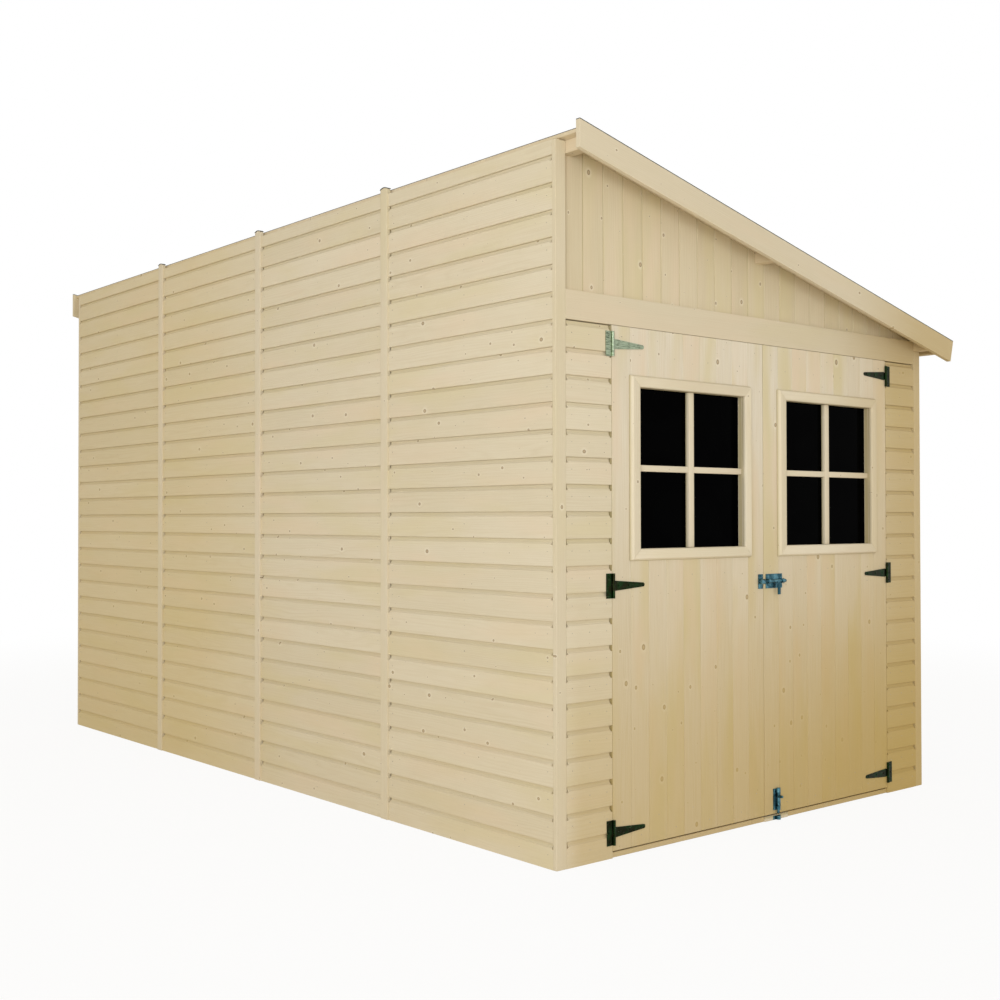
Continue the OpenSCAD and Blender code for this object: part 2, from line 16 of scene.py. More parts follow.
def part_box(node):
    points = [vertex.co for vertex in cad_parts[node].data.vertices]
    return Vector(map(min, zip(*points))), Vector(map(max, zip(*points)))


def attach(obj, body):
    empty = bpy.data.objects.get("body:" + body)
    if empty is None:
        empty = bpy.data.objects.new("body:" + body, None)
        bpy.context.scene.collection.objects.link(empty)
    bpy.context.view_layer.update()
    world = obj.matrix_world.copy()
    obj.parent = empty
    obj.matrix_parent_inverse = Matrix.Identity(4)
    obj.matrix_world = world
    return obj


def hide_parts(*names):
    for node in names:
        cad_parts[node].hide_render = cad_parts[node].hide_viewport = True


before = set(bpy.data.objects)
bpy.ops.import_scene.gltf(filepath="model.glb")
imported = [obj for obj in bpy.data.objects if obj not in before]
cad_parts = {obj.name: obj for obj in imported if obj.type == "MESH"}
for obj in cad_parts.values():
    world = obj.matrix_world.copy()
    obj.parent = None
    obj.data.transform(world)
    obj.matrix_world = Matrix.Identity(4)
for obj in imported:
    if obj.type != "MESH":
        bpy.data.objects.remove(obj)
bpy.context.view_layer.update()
dice = random.Random(41)
EAST, NORTH, UP = Vector((1, 0, 0)), Vector((0, 1, 0)), Vector((0, 0, 1))

# %% [markdown]
# The camera stands off the shed's front left corner, a little below half its height. Its place and lens
# came from matching straight edges to the picture: the foot of each wall, the door head and the roof
# edge. A camera can be aimed at an empty, but three plain angles are easier to read and to correct.

# %% Camera
LENS_MM, SENSOR_MM, FARTHEST = 46.8, 36, 200
EYE = Vector((-3.939, -5.0836, 1.1423))
YAW, PITCH, ROLL = math.radians(39.932), math.radians(0.789), math.radians(-0.089)

camera = bpy.data.objects.new("camera", bpy.data.cameras.new("camera"))
bpy.context.scene.collection.objects.link(camera)
camera.data.lens = LENS_MM
camera.data.sensor_width = SENSOR_MM
camera.data.clip_end = FARTHEST
upright_turn = Matrix.Rotation(-YAW, 4, "Z") @ Matrix.Rotation(math.pi / 2 + PITCH, 4, "X")
camera.matrix_world = Matrix.Translation(EYE) @ upright_turn @ Matrix.Rotation(ROLL, 4, "Z")
bpy.context.scene.camera = camera
bpy.context.scene.view_settings.view_transform = "Standard"
print("camera at", tuple(EYE), "lens", LENS_MM)

# %% [markdown]
# Shader trees and geometry trees are wired in the same way, so one small helper serves both: it adds a
# node, sets its properties, and then links or fills each input. The other helpers name the few nodes
# that come up again and again, so that a tree reads like a sum.

# %% Node helpers
FLOAT, INTEGER, BOOLEAN = "NodeSocketFloat", "NodeSocketInt", "NodeSocketBool"
COLOR, MATERIAL = "NodeSocketColor", "NodeSocketMaterial"
OBJECT, GEOMETRY = "NodeSocketObject", "NodeSocketGeometry"


def put(tree, kind, wires=None, **settings):
    made = tree.nodes.new(kind)
    for key, value in settings.items():
        setattr(made, key, value)
    for key, value in (wires or {}).items():
        if isinstance(value, bpy.types.NodeSocket):
            tree.links.new(value, made.inputs[key])
        else:
            made.inputs[key].default_value = value
    return made


def calc(tree, operation, a, b=0.0, c=None):
    wires = {0: a, 1: b} if c is None else {0: a, 1: b, 2: c}
    return put(tree, "ShaderNodeMath", wires, operation=operation).outputs[0]


def plus(tree, a, b):
    return calc(tree, "ADD", a, b)


def minus(tree, a, b):
    return calc(tree, "SUBTRACT", a, b)


def times(tree, a, b):
    return calc(tree, "MULTIPLY", a, b)


def step(tree, value, low, high, to_low=0.0, to_high=1.0):
    wires = {"Value": value, "From Min": low, "From Max": high, "To Min": to_low, "To Max": to_high}
    return put(tree, "ShaderNodeMapRange", wires, interpolation_type="SMOOTHSTEP").outputs[0]


def blend(tree, share, a, b, mode="MIX"):
    made = put(tree, "ShaderNodeMix", {0: share, 6: a, 7: b}, data_type="RGBA", blend_type=mode)
    return made.outputs[2]


def point(tree, x=0.0, y=0.0, z=0.0):
    return put(tree, "ShaderNodeCombineXYZ", {0: x, 1: y, 2: z}).outputs[0]


def parts_of(tree, vector):
    return put(tree, "ShaderNodeSeparateXYZ", {0: vector}).outputs


def channels(tree, color):
    return put(tree, "ShaderNodeSeparateColor", {0: color}).outputs


def noise(tree, vector, scale, detail=2, distortion=0.0):
    wires = {"Vector": vector, "Scale": scale, "Detail": detail, "Distortion": distortion}
    return put(tree, "ShaderNodeTexNoise", wires).outputs


def object_place(tree):
    return put(tree, "ShaderNodeTexCoord").outputs["Object"]


def new_group(name, kind, inputs, outputs):
    group = bpy.data.node_groups.new(name, kind)
    for title, socket, value in inputs:
        made = group.interface.new_socket(title, in_out="INPUT", socket_type=socket)
        if value is not None:
            made.default_value = value
    for title, socket in outputs:
        group.interface.new_socket(title, in_out="OUTPUT", socket_type=socket)
    return group, put(group, "NodeGroupInput").outputs, put(group, "NodeGroupOutput").inputs


def new_material(name):
    material = bpy.data.materials.new(name)
    material.use_nodes = True
    return material, material.node_tree, material.node_tree.nodes["Principled BSDF"]


print("node helpers ready")

# %% [markdown]
# The picture is lit softly, with white all round. A pale floor takes the shed's shadow. Floor and sky
# show as white to the camera and in reflections, through the Light Path node, while they light the
# wood at a plain level. One broad lamp stands far off on the left, no higher than the roof, so the roof's
# edge throws hardly any shadow on the gable. A weak one, low down on the right, fills what is left.

# %% Sky, floor and lamp
WHITE = (1, 1, 1, 1)
SKY_LIGHT, SKY_TINT = 0.64, (1.0, 0.93, 0.80, 1)
LAMP_TINT, LAMP_AIM = (0.97, 1.0, 1.0), Vector((-0.4, -1.4, 1.2))
KEY_WATTS, KEY_SIZE, KEY_PLACE = 450, 4.0, Vector((-8.6, -8.2, 2.05))
FILL_WATTS, FILL_SIZE, FILL_PLACE = 34, 3.0, Vector((2.6, -8.4, 0.8))
FLOOR_HALF, FLOOR_DROP = 60.0, 0.001
FLOOR_TINT = (0.8, 0.74, 0.64, 1)
FLOOR_GLOW, GLOW_FROM, GLOW_TO = 0.9, 3.5, 8.0


def seen_directly(tree):
    path = put(tree, "ShaderNodeLightPath").outputs
    mirrored = calc(tree, "MAXIMUM", path["Is Glossy Ray"], path["Is Transmission Ray"])
    return calc(tree, "MAXIMUM", path["Is Camera Ray"], mirrored)


sky = bpy.data.worlds.new("studio_sky")
sky.use_nodes = True
bpy.context.scene.world = sky
tree = sky.node_tree
background = tree.nodes["Background"]
seen = seen_directly(tree)
tree.links.new(blend(tree, seen, SKY_TINT, WHITE), background.inputs["Color"])
tree.links.new(step(tree, seen, 0, 1, SKY_LIGHT, 1), background.inputs["Strength"])

floor_mesh = bpy.data.meshes.new("studio_floor")
corners = [(x * FLOOR_HALF, y * FLOOR_HALF, -FLOOR_DROP) for x, y in ((-1, -1), (1, -1), (1, 1), (-1, 1))]
floor_mesh.from_pydata(corners, [], [(0, 1, 2, 3)])
floor = bpy.data.objects.new("studio_floor", floor_mesh)
bpy.context.scene.collection.objects.link(floor)
paper, tree, matt = new_material("studio_paper")
seen = seen_directly(tree)
tree.links.new(blend(tree, seen, FLOOR_TINT, WHITE), matt.inputs["Base Color"])
matt.inputs["Roughness"].default_value = 1
glow = put(tree, "ShaderNodeEmission", {"Color": WHITE, "Strength": 1}).outputs[0]
away = put(tree, "ShaderNodeVectorMath", {0: object_place(tree)}, operation="LENGTH").outputs["Value"]
share = times(tree, seen, step(tree, away, GLOW_FROM, GLOW_TO, FLOOR_GLOW, 1))
mixed = put(tree, "ShaderNodeMixShader", {0: share, 1: matt.outputs[0], 2: glow}).outputs[0]
tree.links.new(mixed, tree.nodes["Material Output"].inputs["Surface"])
floor_mesh.materials.append(paper)


def add_lamp(name, watts, size, place):
    lamp = bpy.data.objects.new(name, bpy.data.lights.new(name, "AREA"))
    bpy.context.scene.collection.objects.link(lamp)
    lamp.data.energy = watts
    lamp.data.color = LAMP_TINT
    lamp.data.shape = "DISK"
    lamp.data.size = size
    lamp.location = place
    lamp.rotation_euler = (LAMP_AIM - place).to_track_quat("-Z", "Y").to_euler()


add_lamp("key_lamp", KEY_WATTS, KEY_SIZE, KEY_PLACE)
add_lamp("fill_lamp", FILL_WATTS, FILL_SIZE, FILL_PLACE)
print("studio: sky", SKY_LIGHT, "key", KEY_WATTS, "fill", FILL_WATTS)

# %% [markdown]
# Unpainted pine is pale, with soft rings, fine fibres and many small knots. A photo texture would show
# the same knots on every board. Here each wooden piece carries two attributes instead: grain_pos, its
# place measured along, across and into the board, and tone, a number from 0 to 1 that differs from
# board to board. A node group reads both. It starts with where the board lay in its trunk, and with
# the knots: cells of a Voronoi texture, each with one dark eye of its own size.

# %% Pine figure: place in the trunk, and knots
pine, given, result = new_group(
    "Pine Figure", "ShaderNodeTree",
    [("Pale", COLOR, (0.74, 0.68, 0.55, 1)), ("Ring", COLOR, (0.6, 0.5, 0.35, 1)),
     ("Variety", FLOAT, 1.0), ("Knots", FLOAT, 1.0), ("Groove Depth", FLOAT, 0.008), ("Groove Shade", FLOAT, 0.5)],
    [("Color", COLOR), ("Height", FLOAT), ("Dry", FLOAT)])
TRUNK_LENGTH, HEART_SPREAD, HEART_NEAR, HEART_DEPTH = 57.3, 0.11, 0.018, 0.07
KNOTS_ALONG, KNOTS_ACROSS = 8.0, 10.0
SMALL_KNOT, LARGE_KNOT, KNOT_SHIFT = 0.010, 0.060, 311

place = put(pine, "ShaderNodeAttribute", attribute_name="grain_pos").outputs["Vector"]
tone = put(pine, "ShaderNodeAttribute", attribute_name="tone").outputs["Fac"]
axis = parts_of(pine, place)
luck = put(pine, "ShaderNodeTexWhiteNoise", {"W": tone}, noise_dimensions="1D").outputs["Color"]
chance = channels(pine, luck)
along = calc(pine, "MULTIPLY_ADD", tone, TRUNK_LENGTH, axis["X"])
across = calc(pine, "MULTIPLY_ADD", minus(pine, chance["Red"], 0.5), HEART_SPREAD, axis["Y"])
behind = plus(pine, axis["Z"], calc(pine, "MULTIPLY_ADD", chance["Green"], HEART_DEPTH, HEART_NEAR))

row = calc(pine, "MULTIPLY_ADD", axis["Y"], KNOTS_ACROSS, times(pine, tone, KNOT_SHIFT))
spot = point(pine, times(pine, along, KNOTS_ALONG), row)
cells = {"Vector": spot, "Scale": 1, "Randomness": 1}
cell = put(pine, "ShaderNodeTexVoronoi", cells, voronoi_dimensions="2D").outputs
rarity = calc(pine, "POWER", channels(pine, cell["Color"])["Red"], 5)
wide = times(pine, calc(pine, "MULTIPLY_ADD", rarity, LARGE_KNOT, SMALL_KNOT), given["Knots"])
eye = calc(pine, "DIVIDE", cell["Distance"], wide)
knot = step(pine, eye, 0.7, 1.15, 1, 0)
rim = times(pine, step(pine, eye, 0.35, 0.9), knot)
print("about", round(KNOTS_ALONG * KNOTS_ACROSS), "knots to a square metre")

# %% [markdown]
# Rings are circles round a heart that lies somewhere behind the face, bent by noise and pushed aside by
# the knots, so each board shows its own flat-sawn figure. Fibres are a noise stretched along the board.
# Sapwood and heartwood drift in broad patches. In the grooves, what lies deeper than the face is painted
# darker, as painted shade; the mask stops short of the board's back, which stays as light as its front.

# %% Pine figure: rings, fibres and colour
RING_SPACING, RING_WANDER, KNOT_SWIRL = 0.0062, 0.042, 0.004
BENDS_ALONG, BENDS_ACROSS, BEND_SCALE = 0.9, 7, 1.6
FIBRES_ALONG, FIBRES_ACROSS = 5, 420
PATCHES_ALONG, PATCHES_ACROSS, PATCH_SHIFT = 1.6, 7, 77
# The last colour on the next line is painted shade, laid into grooves and recesses.
OLIVE, ROSE, GROOVE_SHADE = (0.69, 0.61, 0.39, 1), (0.77, 0.64, 0.49, 1), (0.40, 0.335, 0.15, 1)
# KNOT_HALO, the last colour on the next line, is a painted highlight beside each knot.
KNOT_HEART, KNOT_RIM, KNOT_HALO = (0.44, 0.33, 0.2, 1), (0.23, 0.16, 0.09, 1), (0.86, 0.80, 0.68, 1)
DARK_BOARD, LIGHT_BOARD = (0.955, 0.945, 0.915, 1), (1.03, 1.03, 1.035, 1)
BACK_NEAR, BACK = 0.0165, 0.0185

bends = [times(pine, reach, BENDS_ACROSS) for reach in (across, behind)]
wander = noise(pine, point(pine, times(pine, along, BENDS_ALONG), *bends), BEND_SCALE, 3)["Fac"]
square = plus(pine, times(pine, across, across), times(pine, behind, behind))
radius = calc(pine, "MULTIPLY_ADD", wander, RING_WANDER, calc(pine, "SQRT", square))
radius = plus(pine, radius, step(pine, eye, 0.6, 4.5, KNOT_SWIRL, 0))
wave = calc(pine, "SINE", times(pine, radius, 2 * math.pi / RING_SPACING))
ring = calc(pine, "POWER", calc(pine, "MULTIPLY_ADD", wave, 0.5, 0.5), 2.2)
threads = [times(pine, axis[side], FIBRES_ACROSS) for side in ("Y", "Z")]
fibre = noise(pine, point(pine, times(pine, along, FIBRES_ALONG), *threads), 1)["Fac"]
patch = calc(pine, "MULTIPLY_ADD", axis["Y"], PATCHES_ACROSS, times(pine, tone, PATCH_SHIFT))
cloud = noise(pine, point(pine, times(pine, along, PATCHES_ALONG), patch), 1)
drift = channels(pine, cloud["Color"])

ring_share = times(pine, ring, step(pine, cloud["Fac"], 0.3, 0.75, 0.06, 0.28))
olive_share = times(pine, step(pine, drift["Green"], 0.46, 0.72, 0, 0.36), given["Variety"])
rose_share = times(pine, step(pine, drift["Blue"], 0.48, 0.74, 0, 0.32), given["Variety"])
fibre_share = times(pine, step(pine, fibre, 0.35, 0.75, 0, 0.13), given["Variety"])
wood = blend(pine, ring_share, given["Pale"], given["Ring"])
wood = blend(pine, fibre_share, wood, given["Ring"])
wood = blend(pine, 1.0, wood, blend(pine, chance["Blue"], DARK_BOARD, LIGHT_BOARD), "MULTIPLY")
wood = blend(pine, olive_share, wood, OLIVE)
wood = blend(pine, rose_share, wood, ROSE)
# A pale ring round each knot is a painted highlight.
wood = blend(pine, step(pine, eye, 1.1, 2.6, 0.4, 0), wood, KNOT_HALO)
wood = blend(pine, times(pine, knot, 0.75), wood, KNOT_HEART)
wood = blend(pine, times(pine, rim, 0.8), wood, KNOT_RIM)
# Painted shade: the deeper a point lies in a groove or recess, the darker it is painted.
depth = times(pine, axis["Z"], -1)
groove_shade = step(pine, calc(pine, "DIVIDE", depth, given["Groove Depth"]), 0.35, 1.0, 0, given["Groove Shade"])
groove_shade = times(pine, groove_shade, step(pine, depth, BACK_NEAR, BACK, 1, 0))
wood = blend(pine, groove_shade, wood, GROOVE_SHADE)
bump = plus(pine, times(pine, ring, 0.35), times(pine, fibre, 0.5))
pine.links.new(wood, result["Color"])
pine.links.new(minus(pine, bump, times(pine, knot, 0.3)), result["Height"])
pine.links.new(step(pine, fibre, 0.3, 0.7, 0.58, 0.78), result["Dry"])
print("Pine Figure has", len(pine.nodes), "nodes")

# %% [markdown]
# The wood is painted darker and warmer towards the foot of the walls, most of all on the front and towards
# the right, and on the low side: this is painted shade where the light falls off, with a few cloudy stains
# in it. The far end is yellower, more so towards its foot. A second group does this to whatever colour it
# is given. It reads Object coordinates, so the change runs on smoothly from board to board.

# %% Painted shade, stains and yellowing as a node group
# DEEP_PINE is the colour of the painted shade and the stains; YELLOW_PINE is the far end's colour.
DEEP_PINE, YELLOW_PINE = (0.50, 0.355, 0.11, 1), (0.66, 0.50, 0.16, 1)
SHADE_FOOT, SHADE_UNEVEN, STAIN_SCALE = 0.2, 0.25, 2.3
# Places in the frame where a change begins and ends: along X, and for the far end along Y and up Z.
SIDE_FACE, FRONT_START = -1.09, -0.97
RIGHT_SHADE_FROM, RIGHT_SHADE_TO = -0.95, 0.7
LOW_FROM, LOW_TO = 0.3, 0.95
FAR_FROM, FAR_TO, FAR_TOP = -0.5, 0.7, 2.2
weather_and_shade, given, result = new_group(
    "Weather And Shade", "ShaderNodeTree",
    [("Color", COLOR, None), ("Foot Shade", FLOAT, 0.6), ("Foot Shade Top", FLOAT, 1.2), ("Low Side", FLOAT, 0.46),
     ("Far End", FLOAT, 0.3)],
    [("Color", COLOR)])
spot = object_place(weather_and_shade)
where = parts_of(weather_and_shade, spot)
cloudy = noise(weather_and_shade, spot, STAIN_SCALE, 4)["Fac"]
# Painted shade: darker towards the foot, most on the front and towards the right, and on the low side.
rise = calc(weather_and_shade, "MULTIPLY_ADD", cloudy, SHADE_UNEVEN, where["Z"])
lower_shade = step(weather_and_shade, rise, SHADE_FOOT, given["Foot Shade Top"], given["Foot Shade"], 0)
on_front = step(weather_and_shade, where["X"], SIDE_FACE, FRONT_START, 0.16, 0.7)
to_the_right = step(weather_and_shade, where["X"], RIGHT_SHADE_FROM, RIGHT_SHADE_TO, 0, 0.38)
foot_shade = times(weather_and_shade, lower_shade, plus(weather_and_shade, on_front, to_the_right))
low_side = times(weather_and_shade, step(weather_and_shade, where["X"], LOW_FROM, LOW_TO), given["Low Side"])
shade_and_stain = calc(weather_and_shade, "MULTIPLY_ADD", low_side, minus(weather_and_shade, 1.0, foot_shade), foot_shade)
shade_and_stain = plus(weather_and_shade, shade_and_stain, step(weather_and_shade, cloudy, 0.52, 0.8, 0, 0.06))
far_end = times(weather_and_shade, step(weather_and_shade, where["Y"], FAR_FROM, FAR_TO), given["Far End"])
far_end = times(weather_and_shade, far_end, step(weather_and_shade, where["Z"], 0.0, FAR_TOP, 1.35, 0.8))
yellowed = blend(weather_and_shade, far_end, given["Color"], YELLOW_PINE)
weather_and_shade.links.new(blend(weather_and_shade, shade_and_stain, yellowed, DEEP_PINE), result["Color"])
print("Weather has", len(weather_and_shade.nodes), "nodes")

# %% [markdown]
# Each pine finish is the same two groups with its own numbers: level cladding, door boards, gable boards,
# planed timbers, window trim, sawn framing and deck boards. One function makes them all. The first set of
# numbers goes to the figure, the second to the painted shade, stains and yellowing. The shader stays in the
# material, with plain numbers in its own sockets.

# %% Pine materials
NO_GROOVE, GRAIN_RELIEF = 1.0, 0.0012


# The ageing numbers set the painted shade at the foot, towards the right and on the low side, the stains and
# the far end's yellow.
def pine_finish(name, pale, ring, relief, look, ageing_and_shade):
    material, tree, skin = new_material(name)
    look = {"Pale": (*pale, 1), "Ring": (*ring, 1), "Groove Depth": NO_GROOVE, "Groove Shade": 0.0, **look}
    figure = put(tree, "ShaderNodeGroup", look, node_tree=pine).outputs
    aged_and_shaded = put(tree, "ShaderNodeGroup", {"Color": figure["Color"], **ageing_and_shade}, node_tree=weather_and_shade).outputs
    raised = {"Height": figure["Height"], "Strength": relief, "Distance": GRAIN_RELIEF}
    tree.links.new(aged_and_shaded["Color"], skin.inputs["Base Color"])
    tree.links.new(figure["Dry"], skin.inputs["Roughness"])
    tree.links.new(put(tree, "ShaderNodeBump", raised).outputs[0], skin.inputs["Normal"])
    skin.inputs["Specular IOR Level"].default_value = 0.28
    return material


# The groove numbers of each finish paint shade into its grooves and recesses, the sides of the window
# openings among them.
cladding = pine_finish("pine_cladding", (0.745, 0.68, 0.545), (0.6, 0.505, 0.345), 0.3,
                       {"Variety": 1.4, "Groove Depth": 0.0075, "Groove Shade": 0.18},
                       {"Foot Shade": 0.72, "Low Side": 0.64})
door_pine = pine_finish("pine_door", (0.79, 0.735, 0.64), (0.62, 0.53, 0.37), 0.25,
                        {"Variety": 2.3, "Knots": 1.3, "Groove Depth": 0.0024, "Groove Shade": 0.7},
                        {"Foot Shade": 0.8, "Foot Shade Top": 1.65, "Low Side": 0.28})
gable_pine = pine_finish("pine_gable", (0.718, 0.638, 0.483), (0.57, 0.47, 0.29), 0.25,
                         {"Variety": 1.9, "Knots": 1.2, "Groove Depth": 0.0034, "Groove Shade": 0.8},
                         {"Low Side": 0.0})
planed = pine_finish("pine_planed", (0.735, 0.665, 0.53), (0.60, 0.50, 0.34), 0.2,
                     {"Variety": 1.2, "Knots": 0.8}, {"Foot Shade": 0.5, "Low Side": 0.55, "Far End": 0.08})
trim = pine_finish("pine_trim", (0.78, 0.715, 0.585), (0.65, 0.55, 0.39), 0.2,
                   {"Variety": 0.7, "Knots": 0.6, "Groove Depth": 0.017, "Groove Shade": 0.75}, {"Foot Shade": 0.2})
framing = pine_finish("pine_framing", (0.70, 0.60, 0.44), (0.53, 0.40, 0.24), 0.5, {"Knots": 1.2}, {})
decking = pine_finish("pine_decking", (0.72, 0.62, 0.46), (0.56, 0.44, 0.28), 0.45, {"Knots": 1.2}, {})
print("seven pine finishes ready")

# %% [markdown]
# Zinc plate is never one colour: the passivation drifts between blue, green and olive, handling leaves
# fine scratches, and small dark specks show where it has gone. One group gives that drift as a colour
# and a roughness, and the hinges and the bolts use it with their own tints. One hinge catches a bright
# reflection, so the hinge finish fades to silver round that place: a painted reflection.

# %% Metal materials
# A painted reflection: the hinge finish turns silver near the first point on the next line.
SHEEN_HINGE_AT, SHEEN_FROM, SHEEN_TO = Vector((-0.80, -1.985, 1.729)), 0.09, 0.2
CLOUD_SCALE, SPECK_SCALE, BRUSH_SCALE = 38, 210, (40, 40, 900)
plating, given, result = new_group(
    "Zinc Drift", "ShaderNodeTree",
    [("Base", COLOR, (0.2, 0.3, 0.3, 1)), ("Drift", COLOR, (0.4, 0.4, 0.25, 1)),
     ("Bright", COLOR, (0.6, 0.65, 0.6, 1)), ("Speck", COLOR, (0.004, 0.004, 0.004, 1))],
    [("Color", COLOR), ("Roughness", FLOAT), ("Scratch", FLOAT)])
spot = object_place(plating)
cloud = noise(plating, spot, CLOUD_SCALE, 3, 0.6)["Fac"]
brushed = put(plating, "ShaderNodeMapping", {"Vector": spot, "Scale": BRUSH_SCALE}).outputs[0]
scratch = noise(plating, brushed, 1)["Fac"]
colour = blend(plating, step(plating, cloud, 0.4, 0.66), given["Base"], given["Drift"])
colour = blend(plating, step(plating, scratch, 0.62, 0.8, 0, 0.4), colour, given["Bright"])
specks = step(plating, noise(plating, spot, SPECK_SCALE)["Fac"], 0.6, 0.7, 0, 0.9)
colour = blend(plating, specks, colour, given["Speck"])
plating.links.new(colour, result["Color"])
rough = calc(plating, "MULTIPLY_ADD", cloud, 0.25, calc(plating, "MULTIPLY_ADD", scratch, 0.12, 0.16))
plating.links.new(rough, result["Roughness"])
plating.links.new(scratch, result["Scratch"])


def plated(name, base, drift, bright, metallic, sheen_at=None):
    material, tree, skin = new_material(name)
    tints = {"Base": (*base, 1), "Drift": (*drift, 1), "Bright": (*bright, 1)}
    look = put(tree, "ShaderNodeGroup", tints, node_tree=plating).outputs
    colour = look["Color"]
    # Painted reflection: silver fades in round the given point.
    if sheen_at:
        offset = put(tree, "ShaderNodeVectorMath", {0: object_place(tree), 1: sheen_at}, operation="SUBTRACT")
        away = put(tree, "ShaderNodeVectorMath", {0: offset.outputs[0]}, operation="LENGTH").outputs["Value"]
        painted_sheen = times(tree, step(tree, away, SHEEN_FROM, SHEEN_TO, 1, 0), step(tree, look["Scratch"], 0.35, 0.5))
        colour = blend(tree, painted_sheen, colour, (*bright, 1))
    tree.links.new(colour, skin.inputs["Base Color"])
    tree.links.new(look["Roughness"], skin.inputs["Roughness"])
    skin.inputs["Metallic"].default_value = metallic
    return material


iron = plated("hinge_plating", (0.011, 0.013, 0.004), (0.009, 0.030, 0.008), (0.34, 0.4, 0.28), 1.0,
              SHEEN_HINGE_AT)
zinc = plated("bolt_plating", (0.022, 0.080, 0.105), (0.10, 0.24, 0.29), (0.60, 0.68, 0.66), 0.95)
nail_steel = plated("nail_plating", (0.42, 0.37, 0.29), (0.50, 0.45, 0.36), (0.7, 0.68, 0.6), 0.6)
print("metals:", [m.name for m in (iron, zinc, nail_steel)])

# %% [markdown]
# Roof felt is grit in bitumen: a fine Voronoi texture gives each grain its shade and its bump. The panes
# show black in daylight because the room behind them is dark, so the glass is nearly black, with faint
# smears in its gloss. Clear glass would show the inside of the shed, which the picture doesn't.

# %% Felt and glass materials
GRIT_SCALE, GRIT_RELIEF = 480, 0.002

felt, tree, skin = new_material("mineral_felt")
spot = object_place(tree)
grit = put(tree, "ShaderNodeTexVoronoi", {"Vector": spot, "Scale": GRIT_SCALE}).outputs
speck = channels(tree, grit["Color"])["Red"]
stain = noise(tree, spot, 1.7, 5)["Fac"]
dark = blend(tree, step(tree, speck, 0.2, 1.0), (0.018, 0.019, 0.02, 1), (0.085, 0.085, 0.082, 1))
dark = blend(tree, step(tree, stain, 0.45, 0.8, 0, 0.5), dark, (0.075, 0.073, 0.062, 1))
raised = put(tree, "ShaderNodeBump", {"Height": grit["Distance"], "Strength": 0.6, "Distance": GRIT_RELIEF})
tree.links.new(dark, skin.inputs["Base Color"])
tree.links.new(raised.outputs[0], skin.inputs["Normal"])
tree.links.new(step(tree, speck, 0, 1, 0.8, 0.97), skin.inputs["Roughness"])

glass, tree, skin = new_material("window_glass")
smear = noise(tree, object_place(tree), 5, 4, 0.8)["Fac"]
black = blend(tree, step(tree, smear, 0.35, 0.75), (0.0002, 0.0002, 0.0003, 1), (0.0006, 0.0007, 0.0008, 1))
tree.links.new(black, skin.inputs["Base Color"])
tree.links.new(step(tree, smear, 0.4, 0.8, 0.03, 0.11), skin.inputs["Roughness"])
skin.inputs["Specular IOR Level"].default_value = 0.006
print("felt and glass ready")

# %% [markdown]
# Boards repeat, so a Geometry Nodes tree lays them. One board is a flat section, drawn point by point and
# pushed out along its length. The section has a small bevel at its lower edge and a scooped cove at its
# upper edge, as shiplap has; with two short bevels it becomes a vee-jointed board. Modelling one board by
# hand and copying it would work too, but a tree with named sizes makes every wall from one drawing.

# %% The board tree: one board
COVE_STEPS, COVE_START, FIRST_COVE, WELD = 6, math.radians(40), 3, 0.00002
boards, given, result = new_group(
    "Board Layer", "GeometryNodeTree",
    [("Length", FLOAT, 1.0), ("Run", FLOAT, 1.0), ("Pitch", FLOAT, 0.09), ("First Joint", FLOAT, 0.09),
     ("Thickness", FLOAT, 0.019), ("Lip Height", FLOAT, 0.002), ("Lip Depth", FLOAT, 0.002),
     ("Cove Height", FLOAT, 0.01), ("Cove Depth", FLOAT, 0.009), ("Recess Height", FLOAT, 0.0),
     ("Joint Gap", FLOAT, 0.0004), ("Unevenness", FLOAT, 0.0006), ("End Slope", FLOAT, 0.0),
     ("Seed", INTEGER, 1), ("Cut Opening", BOOLEAN, False), ("Opening", OBJECT, None),
     ("Finish", MATERIAL, None)],
    [("Boards", GEOMETRY)])
index = put(boards, "GeometryNodeInputIndex").outputs[0]
turn_step = (math.pi / 2 - COVE_START) / COVE_STEPS
turn = calc(boards, "MULTIPLY_ADD", minus(boards, index, FIRST_COVE), turn_step, COVE_START)
open_share = times(boards, calc(boards, "COSINE", turn), 1 / math.cos(COVE_START))
sine = minus(boards, calc(boards, "SINE", turn), math.sin(COVE_START))
deep_share = times(boards, sine, -1 / (1 - math.sin(COVE_START)))
top = minus(boards, given["Pitch"], given["Joint Gap"])
shoulder = minus(boards, top, given["Recess Height"])
cove_y = minus(boards, shoulder, times(boards, given["Cove Height"], open_share))
cove_z = times(boards, given["Cove Depth"], deep_share)
back = times(boards, given["Thickness"], -1)
lip = times(boards, given["Lip Depth"], -1)
deep = times(boards, given["Cove Depth"], -1)
section_points = [point(boards, 0.0, back), point(boards, 0.0, lip), point(boards, given["Lip Height"], 0.0),
                  point(boards, cove_y, cove_z), point(boards, top, deep), point(boards, top, back)]

